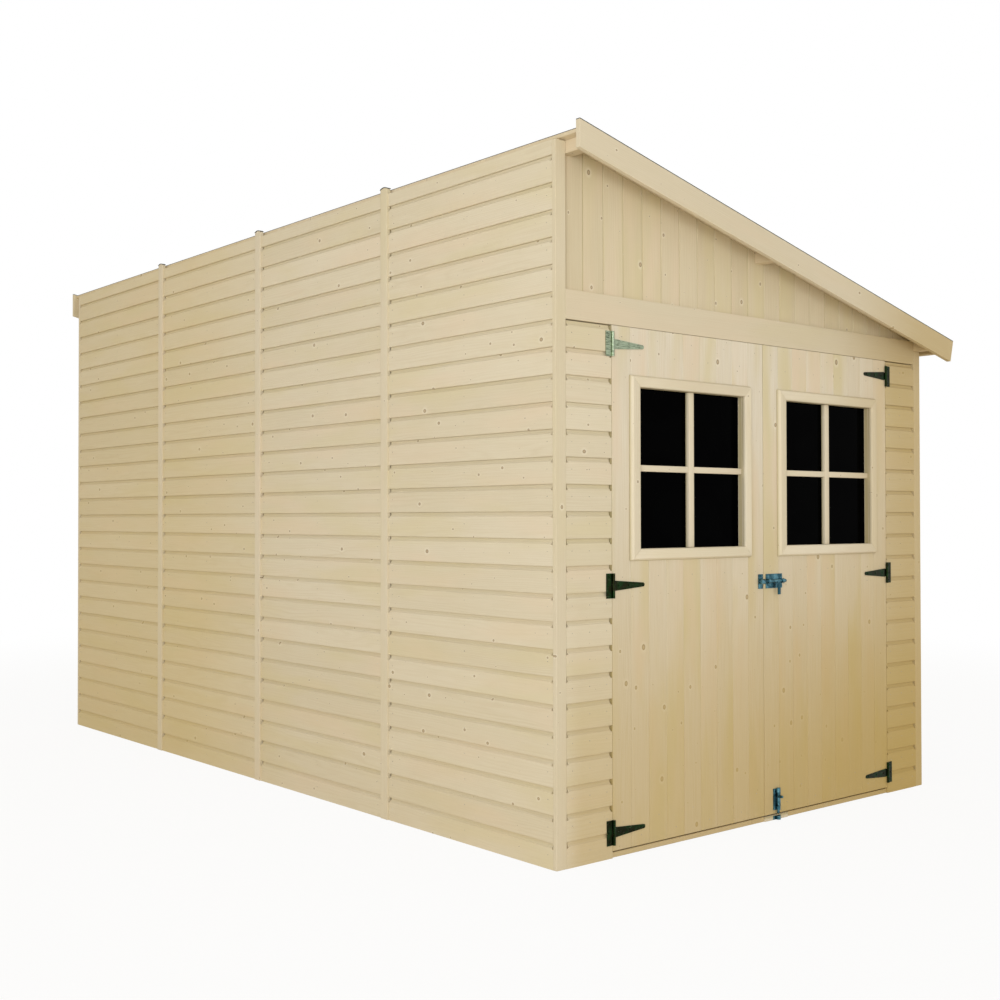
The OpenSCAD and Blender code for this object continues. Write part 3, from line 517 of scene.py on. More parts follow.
chooser = put(boards, "GeometryNodeIndexSwitch", data_type="VECTOR")
for _ in section_points[2:]:
    chooser.index_switch_items.new()
past_cove = calc(boards, "MAXIMUM", minus(boards, index, FIRST_COVE + COVE_STEPS), 0)
before = calc(boards, "MINIMUM", index, FIRST_COVE)
boards.links.new(plus(boards, before, past_cove), chooser.inputs[0])
for number, section_point in enumerate(section_points):
    boards.links.new(section_point, chooser.inputs[number + 1])
corner_count = len(section_points) + COVE_STEPS
line = put(boards, "GeometryNodeMeshLine", {"Count": corner_count}).outputs[0]
line = put(boards, "GeometryNodeSetPosition", {"Geometry": line, "Position": chooser.outputs[0]}).outputs[0]
line = put(boards, "GeometryNodeMeshToCurve", {0: line}).outputs[0]
line = put(boards, "GeometryNodeSetSplineCyclic", {"Geometry": line, "Cyclic": True}).outputs[0]
section = put(boards, "GeometryNodeFillCurve", {0: line}, mode="NGONS").outputs[0]
push = {"Mesh": section, "Offset": point(boards, z=given["Length"]), "Offset Scale": 1.0}
pushed = put(boards, "GeometryNodeExtrudeMesh", push, mode="FACES").outputs[0]
both = put(boards, "GeometryNodeJoinGeometry")
for piece in (put(boards, "GeometryNodeFlipFaces", {0: section}).outputs[0], pushed):
    boards.links.new(piece, both.inputs[0])
closed = put(boards, "GeometryNodeMergeByDistance", {0: both.outputs[0], "Distance": WELD}).outputs[0]
flat_turn = (math.pi / 2, 0, math.pi / 2)
board = put(boards, "GeometryNodeTransform", {0: closed, "Rotation": flat_turn}).outputs[0]
print("one board is drawn from", corner_count, "points")

# %% [markdown]
# Copies of the board are set side by side, each sunk by a hair's breadth of its own. Then the layer is
# trimmed to the height of the wall, cut to a slope where asked, and cut out round an opening. The two
# wood attributes are worked out last, from where each point ended up, because a cut adds new points.

# %% The board tree: a layer of boards
# A last board that would be narrower than this share of the pitch is left off.
SLIVER_SHARE = 0.05
spread = calc(boards, "DIVIDE", minus(boards, given["Run"], given["First Joint"]), given["Pitch"])
count = plus(boards, calc(boards, "FLOOR", plus(boards, spread, 1 - SLIVER_SHARE)), 1)
foot = minus(boards, given["First Joint"], given["Pitch"])
row = {"Count": count, "Start Location": point(boards, y=foot), "Offset": point(boards, y=given["Pitch"])}
row = put(boards, "GeometryNodeMeshLine", row).outputs[0]
laid = put(boards, "GeometryNodeInstanceOnPoints", {"Points": row, "Instance": board}).outputs[0]
luck = {2: 0.0, 3: given["Unevenness"], 8: plus(boards, given["Seed"], 7)}
sunk = put(boards, "FunctionNodeRandomValue", luck, data_type="FLOAT").outputs[1]
inward = {"Instances": laid, "Translation": point(boards, z=times(boards, sunk, -1))}
laid = put(boards, "GeometryNodeTranslateInstances", inward).outputs[0]
laid = put(boards, "GeometryNodeRealizeInstances", {0: laid}).outputs[0]

spot = parts_of(boards, put(boards, "GeometryNodeInputPosition").outputs[0])
trimmed = calc(boards, "MINIMUM", calc(boards, "MAXIMUM", spot["Y"], 0.0), given["Run"])
far_end = calc(boards, "GREATER_THAN", spot["X"], times(boards, given["Length"], 0.5))
slant = times(boards, far_end, times(boards, trimmed, given["End Slope"]))
moved = point(boards, plus(boards, spot["X"], slant), trimmed, spot["Z"])
laid = put(boards, "GeometryNodeSetPosition", {"Geometry": laid, "Position": moved}).outputs[0]
cutter = put(boards, "GeometryNodeObjectInfo", {"Object": given["Opening"]}).outputs["Geometry"]
holed = put(boards, "GeometryNodeMeshBoolean", {0: laid, 1: cutter}, operation="DIFFERENCE").outputs[0]
choice = {"Switch": given["Cut Opening"], "False": laid, "True": holed}
laid = put(boards, "GeometryNodeSwitch", choice, input_type="GEOMETRY").outputs[0]

spot = parts_of(boards, put(boards, "GeometryNodeInputPosition").outputs[0])
raised = minus(boards, spot["Y"], foot)
nudged = calc(boards, "MULTIPLY_ADD", given["Joint Gap"], 0.5, raised)
number = calc(boards, "FLOOR", calc(boards, "DIVIDE", nudged, given["Pitch"]))
inside = minus(boards, raised, times(boards, number, given["Pitch"]))
luck = {2: 0.0, 3: 1.0, 7: number, 8: given["Seed"]}
roll = put(boards, "FunctionNodeRandomValue", luck, data_type="FLOAT").outputs[1]
grain = point(boards, spot["X"], inside, spot["Z"])
for title, value, kind in (("grain_pos", grain, "FLOAT_VECTOR"), ("tone", roll, "FLOAT")):
    store = {"Geometry": laid, "Name": title, "Value": value}
    laid = put(boards, "GeometryNodeStoreNamedAttribute", store, data_type=kind, domain="POINT").outputs[0]
laid = put(boards, "GeometryNodeRealizeInstances", {0: laid}).outputs[0]
laid = put(boards, "GeometryNodeSetMaterial", {"Geometry": laid, "Material": given["Finish"]}).outputs[0]
boards.links.new(laid, result["Boards"])
print("Board Layer has", len(boards.nodes), "nodes")

# %% [markdown]
# A modifier's inputs are set through each socket's identifier. The evaluated result is copied to a plain
# mesh, moved into place, and the modifier goes with its helper object. The place is given by a corner and
# three directions: along the boards, across them, and out of the wall. They must be right-handed, or the
# boards would be turned inside out.

# %% Placing a layer of boards
SHARP_EDGE = math.radians(25)


def placement(corner, along, across, out):
    basis = Matrix((along, across, out)).transposed()
    assert basis.determinant() > 0.99, "the three directions are not right-handed"
    return Matrix.Translation(corner) @ basis.to_4x4()


def settle(mesh, name, body, nodes=()):
    mesh.name = name
    mesh.shade_smooth()
    mesh.set_sharp_from_angle(angle=SHARP_EDGE)
    piece = bpy.data.objects.new(name, mesh)
    bpy.context.scene.collection.objects.link(piece)
    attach(piece, body)
    if nodes:
        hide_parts(*nodes)
    print(name, len(mesh.polygons), "faces")
    return piece


def run_tree(tree, values, source=None):
    host = bpy.data.objects.new("tree_host", source or bpy.data.meshes.new("tree_host"))
    bpy.context.scene.collection.objects.link(host)
    modifier = host.modifiers.new("tree", "NODES")
    modifier.node_group = tree
    inputs = [item for item in tree.interface.items_tree if item.in_out == "INPUT"]
    sockets = {item.name: item.identifier for item in inputs}
    for key, value in values.items():
        modifier[sockets[key]] = value
    seen = bpy.context.evaluated_depsgraph_get()
    seen.update()
    result = host.evaluated_get(seen)
    mesh = bpy.data.meshes.new_from_object(result, preserve_all_data_layers=True, depsgraph=seen)
    bpy.data.objects.remove(host)
    return mesh


def cutter_from(boxes):
    mesh = bpy.data.meshes.new("cutter")
    build = bmesh.new()
    for low, high in boxes:
        size = Matrix.Diagonal((*(high - low), 1))
        bmesh.ops.create_cube(build, size=1, matrix=Matrix.Translation((low + high) / 2) @ size)
    build.to_mesh(mesh)
    build.free()
    return bpy.data.objects.new("cutter", mesh)


def lay_boards(name, node, body, where, values, holes=()):
    cutter = cutter_from(holes) if holes else None
    mesh = run_tree(boards, {**values, "Cut Opening": bool(holes), "Opening": cutter})
    mesh.transform(where)
    settle(mesh, name, body, [node])
    if cutter:
        bpy.data.objects.remove(cutter)


print("ready to lay boards")

# %% [markdown]
# The long walls, the back wall and the two narrow front panels are level shiplap. The joints line up from
# panel to panel, as they do in the picture, because every panel starts its first joint at the same height.
# At both ends of a panel the tongue of each board is cut back, which leaves the small dark holes beside
# the cover strips. Each board is nailed to the frame at its ends and in the middle; the places of those
# nails are kept for later.

# %% Boards of the four walls
SHIPLAP = {"Pitch": 0.0897, "First Joint": 0.0865, "Thickness": 0.019, "Lip Height": 0.002,
           "Lip Depth": 0.0015, "Cove Height": 0.0115, "Cove Depth": 0.0075, "Recess Height": 0.004,
           "Unevenness": 0.0008, "Finish": cladding}
TONGUE_CUT, TONGUE_HEIGHT, TONGUE_DEPTH, CUT_SPARE = 0.008, 0.020, 0.013, 0.001
NAIL_EDGE, NAIL_RISE_SHARE = 0.026, 0.45
wall_nails = []


def wall_panel(node, along, out, seed):
    low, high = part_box(node)
    corner = Vector([high[k] if (out - along)[k] > 0 else low[k] for k in range(3)])
    length, height = abs((high - low).dot(along)), high.z - low.z
    where = placement(corner, along, UP, out)
    holes, nails = [], []
    joint = SHIPLAP["First Joint"]
    while joint < height:
        for start, end in ((-CUT_SPARE, TONGUE_CUT), (length - TONGUE_CUT, length + CUT_SPARE)):
            foot = Vector((start, joint - TONGUE_HEIGHT, -TONGUE_DEPTH))
            holes.append((foot, Vector((end, joint - CUT_SPARE / 2, CUT_SPARE))))
        for reach in (NAIL_EDGE, length / 2, length - NAIL_EDGE):
            nails.append((reach, joint - SHIPLAP["Pitch"] * NAIL_RISE_SHARE, -SHIPLAP["Unevenness"]))
        joint += SHIPLAP["Pitch"]
    wall_nails.append((where, nails))
    values = {**SHIPLAP, "Length": length, "Run": height, "Seed": seed}
    lay_boards(node + "_boards", node, "shed", where, values, holes)


for number in range(1, 5):
    wall_panel("high_wall_panel_%d" % number, -NORTH, -EAST, 100 + number)
    wall_panel("low_wall_panel_%d" % number, NORTH, EAST, 200 + number)
for number in (1, 2):
    wall_panel("back_wall_panel_%d" % number, -EAST, NORTH, 300 + number)
for side, seed in (("left", 411), ("right", 412)):
    wall_panel("front_panel_" + side, EAST, -NORTH, seed)

# %% [markdown]
# The gables are upright vee-jointed boards. Their upper ends follow the roof, which the tree's End Slope
# does, and they are cut out round the purlins. To know where those are, the solids of a node are told
# apart by walking from point to point along their edges. The walk starts at the lowest point number each
# time, so that it gives the same order in every run.

# %% Boards of the gables
MERGE, NEAR, CUT_REACH = 0.00001, 0.001, 0.1
VEE = {"Pitch": 0.0946, "Thickness": 0.019, "Lip Height": 0.0009, "Lip Depth": 0.001, "Cove Height": 0.0009,
       "Cove Depth": 0.001, "Joint Gap": 0.0006, "Unevenness": 0.0007, "Finish": door_pine}
GABLE_VEE = {**VEE, "First Joint": 0.0335, "Lip Height": 0.002, "Lip Depth": 0.0026, "Cove Height": 0.002,
             "Cove Depth": 0.0026, "Joint Gap": 0.0009, "Finish": gable_pine}


def loose_parts(build):
    seen, parts = set(), []
    for first in build.verts:
        if first in seen:
            continue
        seen.add(first)
        stack, part = [first], []
        while stack:
            vert = stack.pop()
            part.append(vert)
            for edge in vert.link_edges:
                near = edge.other_vert(vert)
                if near not in seen:
                    seen.add(near)
                    stack.append(near)
        parts.append(part)
    return parts


def solids_of(node):
    build = bmesh.new()
    build.from_mesh(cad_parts[node].data)
    bmesh.ops.remove_doubles(build, verts=build.verts, dist=MERGE)
    solids = [[vert.co.copy() for vert in part] for part in loose_parts(build)]
    build.free()
    return solids


def box_of(points):
    lowest = Vector([min(p[k] for p in points) for k in range(3)])
    return lowest, Vector([max(p[k] for p in points) for k in range(3)])


gable_low, gable_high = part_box("front_gable")
gable_points = solids_of("front_gable")[0]
right_top = max(p.z for p in gable_points if p.x > gable_high.x - NEAR)
left_top = max(p.z for p in gable_points if p.x < gable_low.x + NEAR)
ROOF_SLOPE = (left_top - right_top) / (gable_high.x - gable_low.x)
purlin_boxes = [box_of(solid) for solid in solids_of("purlins")]
print("roof slope", round(math.degrees(math.atan(ROOF_SLOPE)), 2), "degrees")


def gable(node, out, across, seed):
    low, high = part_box(node)
    start = Vector((high.x if across.x < 0 else low.x, low.y if out.y < 0 else high.y, low.z))
    holes = []
    for purlin_low, purlin_high in purlin_boxes:
        reach = sorted(((purlin_low.x - start.x) * across.x, (purlin_high.x - start.x) * across.x))
        foot = Vector((purlin_low.z - low.z, reach[0], -CUT_REACH))
        holes.append((foot, Vector((purlin_high.z - low.z + CUT_REACH, reach[1], CUT_REACH))))
    top = right_top if across.x < 0 else left_top
    values = {**GABLE_VEE, "Length": top - low.z, "Run": high.x - low.x, "End Slope": -ROOF_SLOPE * across.x,
              "Seed": seed}
    where = placement(start, UP, across, out)
    lay_boards(node + "_boards", node, "shed", where, values, holes)


gable("front_gable", -NORTH, -EAST, 501)
gable("back_gable", NORTH, EAST, 502)

# %% [markdown]
# Each door leaf is nine upright boards with its window cut through them. The cutter is the window's own
# opening, measured from the pane behind it.

# %% Boards of the doors
GLASS_LAP, DOOR_BOARDS = 0.006, 9
HINGE_FIT, MEETING_FIT, HEAD_FIT = 0.0042, 0.0024, 0.0045


def window_opening(side):
    low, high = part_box(side + "_window_glass")
    lap = Vector((GLASS_LAP, 0, GLASS_LAP))
    return low + lap, high - lap


def door(side, seed):
    low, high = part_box(side + "_door_leaf")
    fits = (HINGE_FIT, MEETING_FIT) if side == "left" else (MEETING_FIT, HINGE_FIT)
    low, high = low - EAST * fits[0], high + EAST * fits[1] + UP * HEAD_FIT
    pane_low, pane_high = window_opening(side)
    foot = Vector((pane_low.z - low.z, high.x - pane_high.x, -CUT_REACH))
    hole = (foot, Vector((pane_high.z - low.z, high.x - pane_low.x, CUT_REACH)))
    width = (high.x - low.x) / DOOR_BOARDS
    values = {**VEE, "Pitch": width, "First Joint": width, "Length": high.z - low.z, "Run": high.x - low.x,
              "Seed": seed}
    where = placement(Vector((high.x, low.y, low.z)), UP, -EAST, -NORTH)
    name = side + "_door"
    lay_boards(name + "_boards", name + "_leaf", name, where, values, [hole])


door("left", 601)
door("right", 602)

# %% [markdown]
# Roof boards lie along the shed and show their jointed side downwards, under the overhang and indoors. The
# floor is the same tree lying flat, with wider boards. Both take their place from their solids.

# %% Roof boards and floor boards
DECK_PITCH, FLOOR_PITCH = 0.0915, 0.1195
DECK = {**VEE, "Lip Height": 0.003, "Lip Depth": 0.0025, "Cove Height": 0.003, "Cove Depth": 0.0025,
        "Unevenness": 0.0, "Finish": decking}
pitch_angle = math.atan(ROOF_SLOPE)
DOWN_SLOPE = Vector((math.cos(pitch_angle), 0, -math.sin(pitch_angle)))
OFF_ROOF = DOWN_SLOPE.cross(NORTH)


def span_of(points, direction):
    reaches = [p.dot(direction) for p in points]
    return min(reaches), max(reaches)


def deck_layer(name, node, points, across, out, pitch, seed):
    (start, end), (under, over), (first, last) = (span_of(points, d) for d in (across, out, NORTH))
    corner = across * start + out * over + NORTH * first
    values = {**DECK, "Pitch": pitch, "First Joint": pitch, "Thickness": over - under, "Length": last - first,
              "Run": end - start, "Seed": seed}
    lay_boards(name, node, "shed", placement(corner, NORTH, across, out), values)


roof_points, floor_points = solids_of("roof_boards")[0], solids_of("floor_boards")[0]
deck_layer("roof_deck_boards", "roof_boards", roof_points, DOWN_SLOPE, -OFF_ROOF, DECK_PITCH, 701)
deck_layer("floor_board_layer", "floor_boards", floor_points, -EAST, UP, FLOOR_PITCH, 702)

# %% [markdown]
# Trim, posts and rails are single timbers whose solids already have the right shape. A copy of each solid
# gets its arrises eased with a small bevel, because a razor-sharp edge never catches the light. Its wood
# attributes come from its own shape: the longest edge gives the direction of the grain, the largest face
# the side of the board, and depth is measured from that face.

# %% Planed and sawn timbers
FLAT, CREASE = math.radians(1), math.radians(30)
PLANED_EASE, SAWN_EASE, EASE_STEPS = 0.0016, 0.0022, 2


def wood_attributes(build, mesh, face=None):
    mesh.attributes.new("grain_pos", "FLOAT_VECTOR", "POINT")
    mesh.attributes.new("tone", "FLOAT", "POINT")
    where, which = mesh.attributes["grain_pos"], mesh.attributes["tone"]
    for part in loose_parts(build):
        longest = max((e for v in part for e in v.link_edges), key=lambda e: e.calc_length())
        widest = max((f for v in part for f in v.link_faces), key=lambda f: f.calc_area())
        grain = (longest.verts[1].co - longest.verts[0].co).normalized()
        normal = face or widest.normal
        side = (normal - grain * normal.dot(grain)).normalized()
        cross = side.cross(grain)
        middle = sum((v.co for v in part), Vector()) / len(part)
        front = max(v.co.dot(side) for v in part)
        lucky = dice.random()
        for vert in part:
            off = vert.co - middle
            where.data[vert.index].vector = (off.dot(grain), off.dot(cross), vert.co.dot(side) - front)
            which.data[vert.index].value = lucky


def clean_copy(node):
    build = bmesh.new()
    build.from_mesh(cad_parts[node].data)
    bmesh.ops.remove_doubles(build, verts=build.verts, dist=MERGE)
    bmesh.ops.dissolve_limit(build, angle_limit=FLAT, verts=build.verts, edges=build.edges)
    return build


def ease_edges(build, ease):
    sharp = [e for e in build.edges if len(e.link_faces) == 2 and e.calc_face_angle() > CREASE]
    bmesh.ops.bevel(build, geom=sharp, offset=ease, segments=EASE_STEPS, profile=0.5, affect="EDGES",
                    clamp_overlap=True)
    build.verts.index_update()


def finish_timber(build, name, body, material, nodes, ease, face=None):
    ease_edges(build, ease)
    mesh = bpy.data.meshes.new(name)
    build.to_mesh(mesh)
    wood_attributes(build, mesh, face)
    build.free()
    mesh.materials.append(material)
    return settle(mesh, name, body, nodes)


for node in ("header_boards", "corner_boards", "bargeboards", "eaves_board", "keeper_block"):
    material = trim if node == "keeper_block" else planed
    finish_timber(clean_copy(node), node + "_planed", "shed", material, [node], PLANED_EASE)
for node in ("wall_posts", "wall_rails", "threshold", "floor_bearers", "purlins"):
    finish_timber(clean_copy(node), node + "_sawn", "shed", framing, [node], SAWN_EASE)
for side in ("left", "right"):
    ledges, body = side + "_door_ledges", side + "_door"
    finish_timber(clean_copy(ledges), body + "_battens", body, framing, [ledges], SAWN_EASE)

# %% [markdown]
# Cover strips hide the joints between the panels. On the high wall their tops stand a little above the
# roof edge and are rounded over. The copy's top edges are split into short lengths and set on a flat arch,
# which is simpler than a bevel because the felt caps can follow the same formula later.

# %% Cover strips
STRIP_DROP, STRIP_ARCH, ARCH_STEPS, ROOF_NEAR = 0.014, 0.006, 8, 0.1
felt_low, felt_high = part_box("roof_felt")


def arch_height(share):
    return STRIP_ARCH * (1 - share * share) - STRIP_DROP


def round_over(build, low, high):
    def at_top(vert):
        return vert.co.z > high.z - MERGE and low.y - MERGE < vert.co.y < high.y + MERGE

    def runs_along(edge):
        return all(at_top(v) for v in edge.verts) and abs(edge.verts[0].co.x - edge.verts[1].co.x) < MERGE

    bmesh.ops.subdivide_edges(build, edges=[e for e in build.edges if runs_along(e)], cuts=ARCH_STEPS - 1)
    middle, half = (low.y + high.y) / 2, (high.y - low.y) / 2
    for vert in [v for v in build.verts if at_top(v)]:
        vert.co.z = high.z + arch_height((vert.co.y - middle) / half)


tall_strips = [box_of(solid) for solid in solids_of("cover_strips")]
tall_strips = [box for box in tall_strips if box[1].x < 0 and box[1].z > felt_high.z - ROOF_NEAR]
build = clean_copy("cover_strips")
for strip_low, strip_high in tall_strips:
    round_over(build, strip_low, strip_high)
finish_timber(build, "cover_strips_planed", "shed", planed, ["cover_strips"], PLANED_EASE)
print(len(tall_strips), "strips stand above the roof")

# %% [markdown]
# Each window has a mitred, bevelled trim on the face of the door, a rebated bead that holds the glass from
# behind, and a cross of glazing bars. A moulding is one section, given as steps outwards from the opening,
# and run round the four corners. Four lengths with a hair's breadth between them look like joinery.

# %% Window trim, bead and bars
MITRE_GAP, BAR_FIT = 0.0002, 0.0005
BAR_UPRIGHT, BAR_LEVEL, BAR_DEPTH, BAR_SET = 0.028, 0.022, 0.0175, 0.001
BEVEL_WIDE, BEVEL_FOOT, BEAD_REACH = 0.003, 0.014, 0.008
OUTER_SLOPE, OUTER_FOOT = 0.007, 0.003
TRIM_EASE, BAR_EASE = 0.0011, 0.0025


def mitred_moulding(build, low, high, section):
    corners = [(low.x, low.z, -1, -1), (high.x, low.z, 1, -1), (high.x, high.z, 1, 1), (low.x, high.z, -1, 1)]
    for first, last in zip(corners, corners[1:] + corners[:1]):
        run = Vector((last[0] - first[0], 0, last[1] - first[1])).normalized() * MITRE_GAP
        loops = []
        for (x, z, out_x, out_z), shift in ((first, run), (last, -run)):
            places = [Vector((x + out_x * reach, y, z + out_z * reach)) + shift for reach, y in section]
            loops.append([build.verts.new(p) for p in places])
        build.faces.new(loops[0])
        build.faces.new(loops[1][::-1])
        for k in range(len(section)):
            build.faces.new((loops[0][k], loops[0][k - 1], loops[1][k - 1], loops[1][k]))


def window_frame(side, low, high):
    trim_low, trim_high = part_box(side + "_window_trim")
    leaf_low, leaf_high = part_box(side + "_door_leaf")
    width, front, face, rear = low.x - trim_low.x, trim_low.y, leaf_low.y, leaf_high.y
    outside = [(0, face), (0, face - BEVEL_FOOT), (BEVEL_WIDE, front), (width - OUTER_SLOPE, front),
               (width, face - OUTER_FOOT), (width, face)]
    inside = [(GLASS_LAP, rear), (GLASS_LAP, high.y), (-BEAD_REACH, high.y), (-BEAD_REACH, trim_high.y),
              (width, trim_high.y), (width, rear)]
    for title, section, out in (("trim", outside, -NORTH), ("bead", inside, NORTH)):
        build = bmesh.new()
        mitred_moulding(build, low, high, section)
        bmesh.ops.recalc_face_normals(build, faces=build.faces)
        nodes = [side + "_window_trim"] if title == "trim" else []
        name, body = side + "_window_" + title, side + "_door"
        finish_timber(build, name, body, trim, nodes, TRIM_EASE, out)


def window_bars(side, low, high):
    build = bmesh.new()
    mid_x, mid_z = (low.x + high.x) / 2, (low.z + high.z) / 2
    left, right = mid_x - BAR_UPRIGHT / 2, mid_x + BAR_UPRIGHT / 2
    bars = [(left, right, low.z + BAR_FIT, high.z - BAR_FIT, BAR_DEPTH)]
    for start, end in ((low.x + BAR_FIT, left - BAR_FIT), (right + BAR_FIT, high.x - BAR_FIT)):
        bars.append((start, end, mid_z - BAR_LEVEL / 2, mid_z + BAR_LEVEL / 2, BAR_DEPTH - BAR_SET))
    for x0, x1, z0, z1, thick in bars:
        middle = Vector(((x0 + x1) / 2, low.y - thick / 2, (z0 + z1) / 2))
        size = Matrix.Diagonal((x1 - x0, thick, z1 - z0, 1))
        bmesh.ops.create_cube(build, size=1, matrix=Matrix.Translation(middle) @ size)
    finish_timber(build, side + "_window_bars", side + "_door", trim, [], BAR_EASE, -NORTH)


for side in ("left", "right"):
    opening = window_opening(side)
    window_frame(side, *opening)
    window_bars(side, *opening)

# %% [markdown]
# The felt lies in three sheets along the shed, each lapping over the one below it. A strip lies on
# the top edge of each bargeboard, where it shows as a thin dark line, and small caps keep the rain out of
# the strip tops. Thin slabs with a step at each lap show how the roof was laid, also from above.

# %% Roof felt
FELT_LAP, SHEETS, LAP_LIFT, FELT_EASE = 0.09, 3, 0.0014, 0.0006
FELT_THICK, CAP_OVERHANG, FELT_SEAT = 0.0022, 0.0015, 0.0002


def prism(build, outline, push):
    first = [build.verts.new(p) for p in outline]
    last = [build.verts.new(p + push) for p in outline]
    build.faces.new(first[::-1])
    build.faces.new(last)
    for k in range(len(outline)):
        build.faces.new((first[k - 1], first[k], last[k], last[k - 1]))


def on_roof(u, n, y):
    return DOWN_SLOPE * u + OFF_ROOF * n + NORTH * y


def felt_sheets(build, points):
    (start, end), (bed, crown) = span_of(points, DOWN_SLOPE), span_of(points, OFF_ROOF)
    width = (end - start) / SHEETS
    for number in range(SHEETS):
        u0, u1 = start + number * width - (FELT_LAP if number else 0), start + (number + 1) * width
        lift = LAP_LIFT if number < SHEETS - 1 else 0
        section = [(u0, bed), (u1, bed + lift), (u1, crown + lift), (u0, crown - FELT_SEAT)]
        outline = [on_roof(u, n, felt_low.y) for u, n in section]
        prism(build, outline, NORTH * (felt_high.y - felt_low.y))


def barge_edge(build, points):
    low, high = box_of(points)
    crown = span_of(points, OFF_ROOF)[1]
    top_points = [p for p in points if p.dot(OFF_ROOF) > crown - NEAR]
    u0, u1 = span_of(top_points, DOWN_SLOPE)
    bed = crown + FELT_SEAT
    section = [(u0, bed), (u1, bed), (u1, bed + FELT_THICK), (u0, bed + FELT_THICK)]
    prism(build, [on_roof(u, n, low.y) for u, n in section], NORTH * (high.y - low.y))


def strip_cap(build, low, high):
    middle, half = (low.y + high.y) / 2, (high.y - low.y) / 2
    shares = [2 * k / ARCH_STEPS - 1 for k in range(ARCH_STEPS + 1)]
    under = [(middle + (half + CAP_OVERHANG) * s, high.z + arch_height(s) + FELT_SEAT) for s in shares]
    over = [(y, z + FELT_THICK) for y, z in under[::-1]]
    start = low.x - CAP_OVERHANG
    outline = [Vector((start, y, z)) for y, z in under + over]
    prism(build, outline, EAST * (high.x - start))


build = bmesh.new()
felt_sheets(build, solids_of("roof_felt")[0])
for solid in solids_of("bargeboards"):
    barge_edge(build, solid)
for box in tall_strips:
    strip_cap(build, *box)
bmesh.ops.recalc_face_normals(build, faces=build.faces)
ease_edges(build, FELT_EASE)
mesh = bpy.data.meshes.new("felt_sheets")
build.to_mesh(mesh)
build.free()
mesh.materials.append(felt)
settle(mesh, "felt_sheets", "shed", ["roof_felt"])

# %% [markdown]
# Hinges and bolts keep their solids, which have the right shape already, and so does the glass. They only
# get their finish: the old material is taken out of each solid's slot and the new one is put in.

# %% Finish of the metal and the glass
FINISHES = {
    iron: ("hinge_plates", "left_hinge_straps", "right_hinge_straps"),
    zinc: ("slide_bolt_case", "slide_bolt_rod", "slide_bolt_catch", "foot_bolt_case", "foot_bolt_rod",
           "foot_bolt_catch"),
    glass: ("left_window_glass", "right_window_glass"),
}
for material, names in FINISHES.items():
    for name in names:
        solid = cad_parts[name].data
        solid.materials.clear()
        solid.materials.append(material)
    print(material.name, "on", len(names), "solids")

# %% [markdown]
# Screws hold the ironwork, and nails hold the boards and the felt. A Geometry Nodes tree sets one head on
# every point it is given, turned by chance, so that no two look alike. The heads are drawn one by one: a
# nail is a low dome of few faces, because there are hundreds, and a screw has a cross-shaped recess.

# %% The tree for screw and nail heads
heads, given, result = new_group(
    "Fixing Heads", "GeometryNodeTree",
    [("Points", GEOMETRY, None), ("Head", OBJECT, None), ("Seed", INTEGER, 3), ("Finish", MATERIAL, None)],
    [("Heads", GEOMETRY)])
shape = put(heads, "GeometryNodeObjectInfo", {"Object": given["Head"]}).outputs["Geometry"]
luck = {2: 0.0, 3: 2 * math.pi, 8: given["Seed"]}
spin = point(heads, z=put(heads, "FunctionNodeRandomValue", luck, data_type="FLOAT").outputs[1])
copies = {"Points": given["Points"], "Instance": shape, "Rotation": spin}
driven = put(heads, "GeometryNodeInstanceOnPoints", copies).outputs[0]
driven = put(heads, "GeometryNodeRealizeInstances", {0: driven}).outputs[0]
driven = put(heads, "GeometryNodeSetMaterial", {"Geometry": driven, "Material": given["Finish"]}).outputs[0]
heads.links.new(driven, result["Heads"])

SCREW_SIDES, NAIL_SIDES, SLOT_TIP, SLOT_ROOT = 16, 8, 0.5, 0.15


def turned_head(rings):
    build = bmesh.new()
    loops = []
    for radii, height in rings:
        turns = [2 * math.pi * k / len(radii) for k in range(len(radii))]
        around = [(r * math.cos(a), r * math.sin(a), height) for r, a in zip(radii, turns)]
        loops.append([build.verts.new(p) for p in around])
    for lower, upper in zip(loops, loops[1:]):
        for k in range(len(lower)):
            build.faces.new((lower[k - 1], lower[k], upper[k], upper[k - 1]))
    build.faces.new(loops[0][::-1])
    build.faces.new(loops[-1])
    mesh = bpy.data.meshes.new("head")
    build.to_mesh(mesh)
    build.free()
    return bpy.data.objects.new("head", mesh)


def screw_head(radius, height):
    cross = [radius * (SLOT_ROOT if k % 4 else SLOT_TIP) for k in range(SCREW_SIDES)]
    profile = ((1, 0), (0.97, 0.45), (0.72, 0.9))
    dome = [([radius * share] * SCREW_SIDES, height * rise) for share, rise in profile]
    return turned_head(dome + [(cross, height), (cross, height * 0.4)])


def nail_head(radius, height):
    profile = ((1, 0), (1, 0.5), (0.6, 1))
    return turned_head([([radius * share] * NAIL_SIDES, height * rise) for share, rise in profile])


def drive(places, head, seed, material, where):
    points = bpy.data.meshes.new("head_places")
    points.from_pydata([tuple(p) for p in places], [], [])
    mesh = run_tree(heads, {"Head": head, "Seed": seed, "Finish": material}, points)
    mesh.transform(where)
    return mesh


print("Fixing Heads has", len(heads.nodes), "nodes")

# %% [markdown]
# The nails come first: the walls' nails from the places that were kept, a row along each lap of the felt,
# and one nail in every door board at each batten, a little above or below it by turns. All the walls share
# one mesh, because they move together, and each door has its own.

# %% Nails
BRAD = nail_head(radius=0.0017, height=0.0016)
CLOUT = nail_head(radius=0.005, height=0.0016)
CLOUT_SPACING, CLOUT_EDGE, CLOUT_SINK, NAIL_SWING = 0.11, 0.03, 0.0006, 0.028
FRONT = placement(Vector(), EAST, UP, -NORTH)


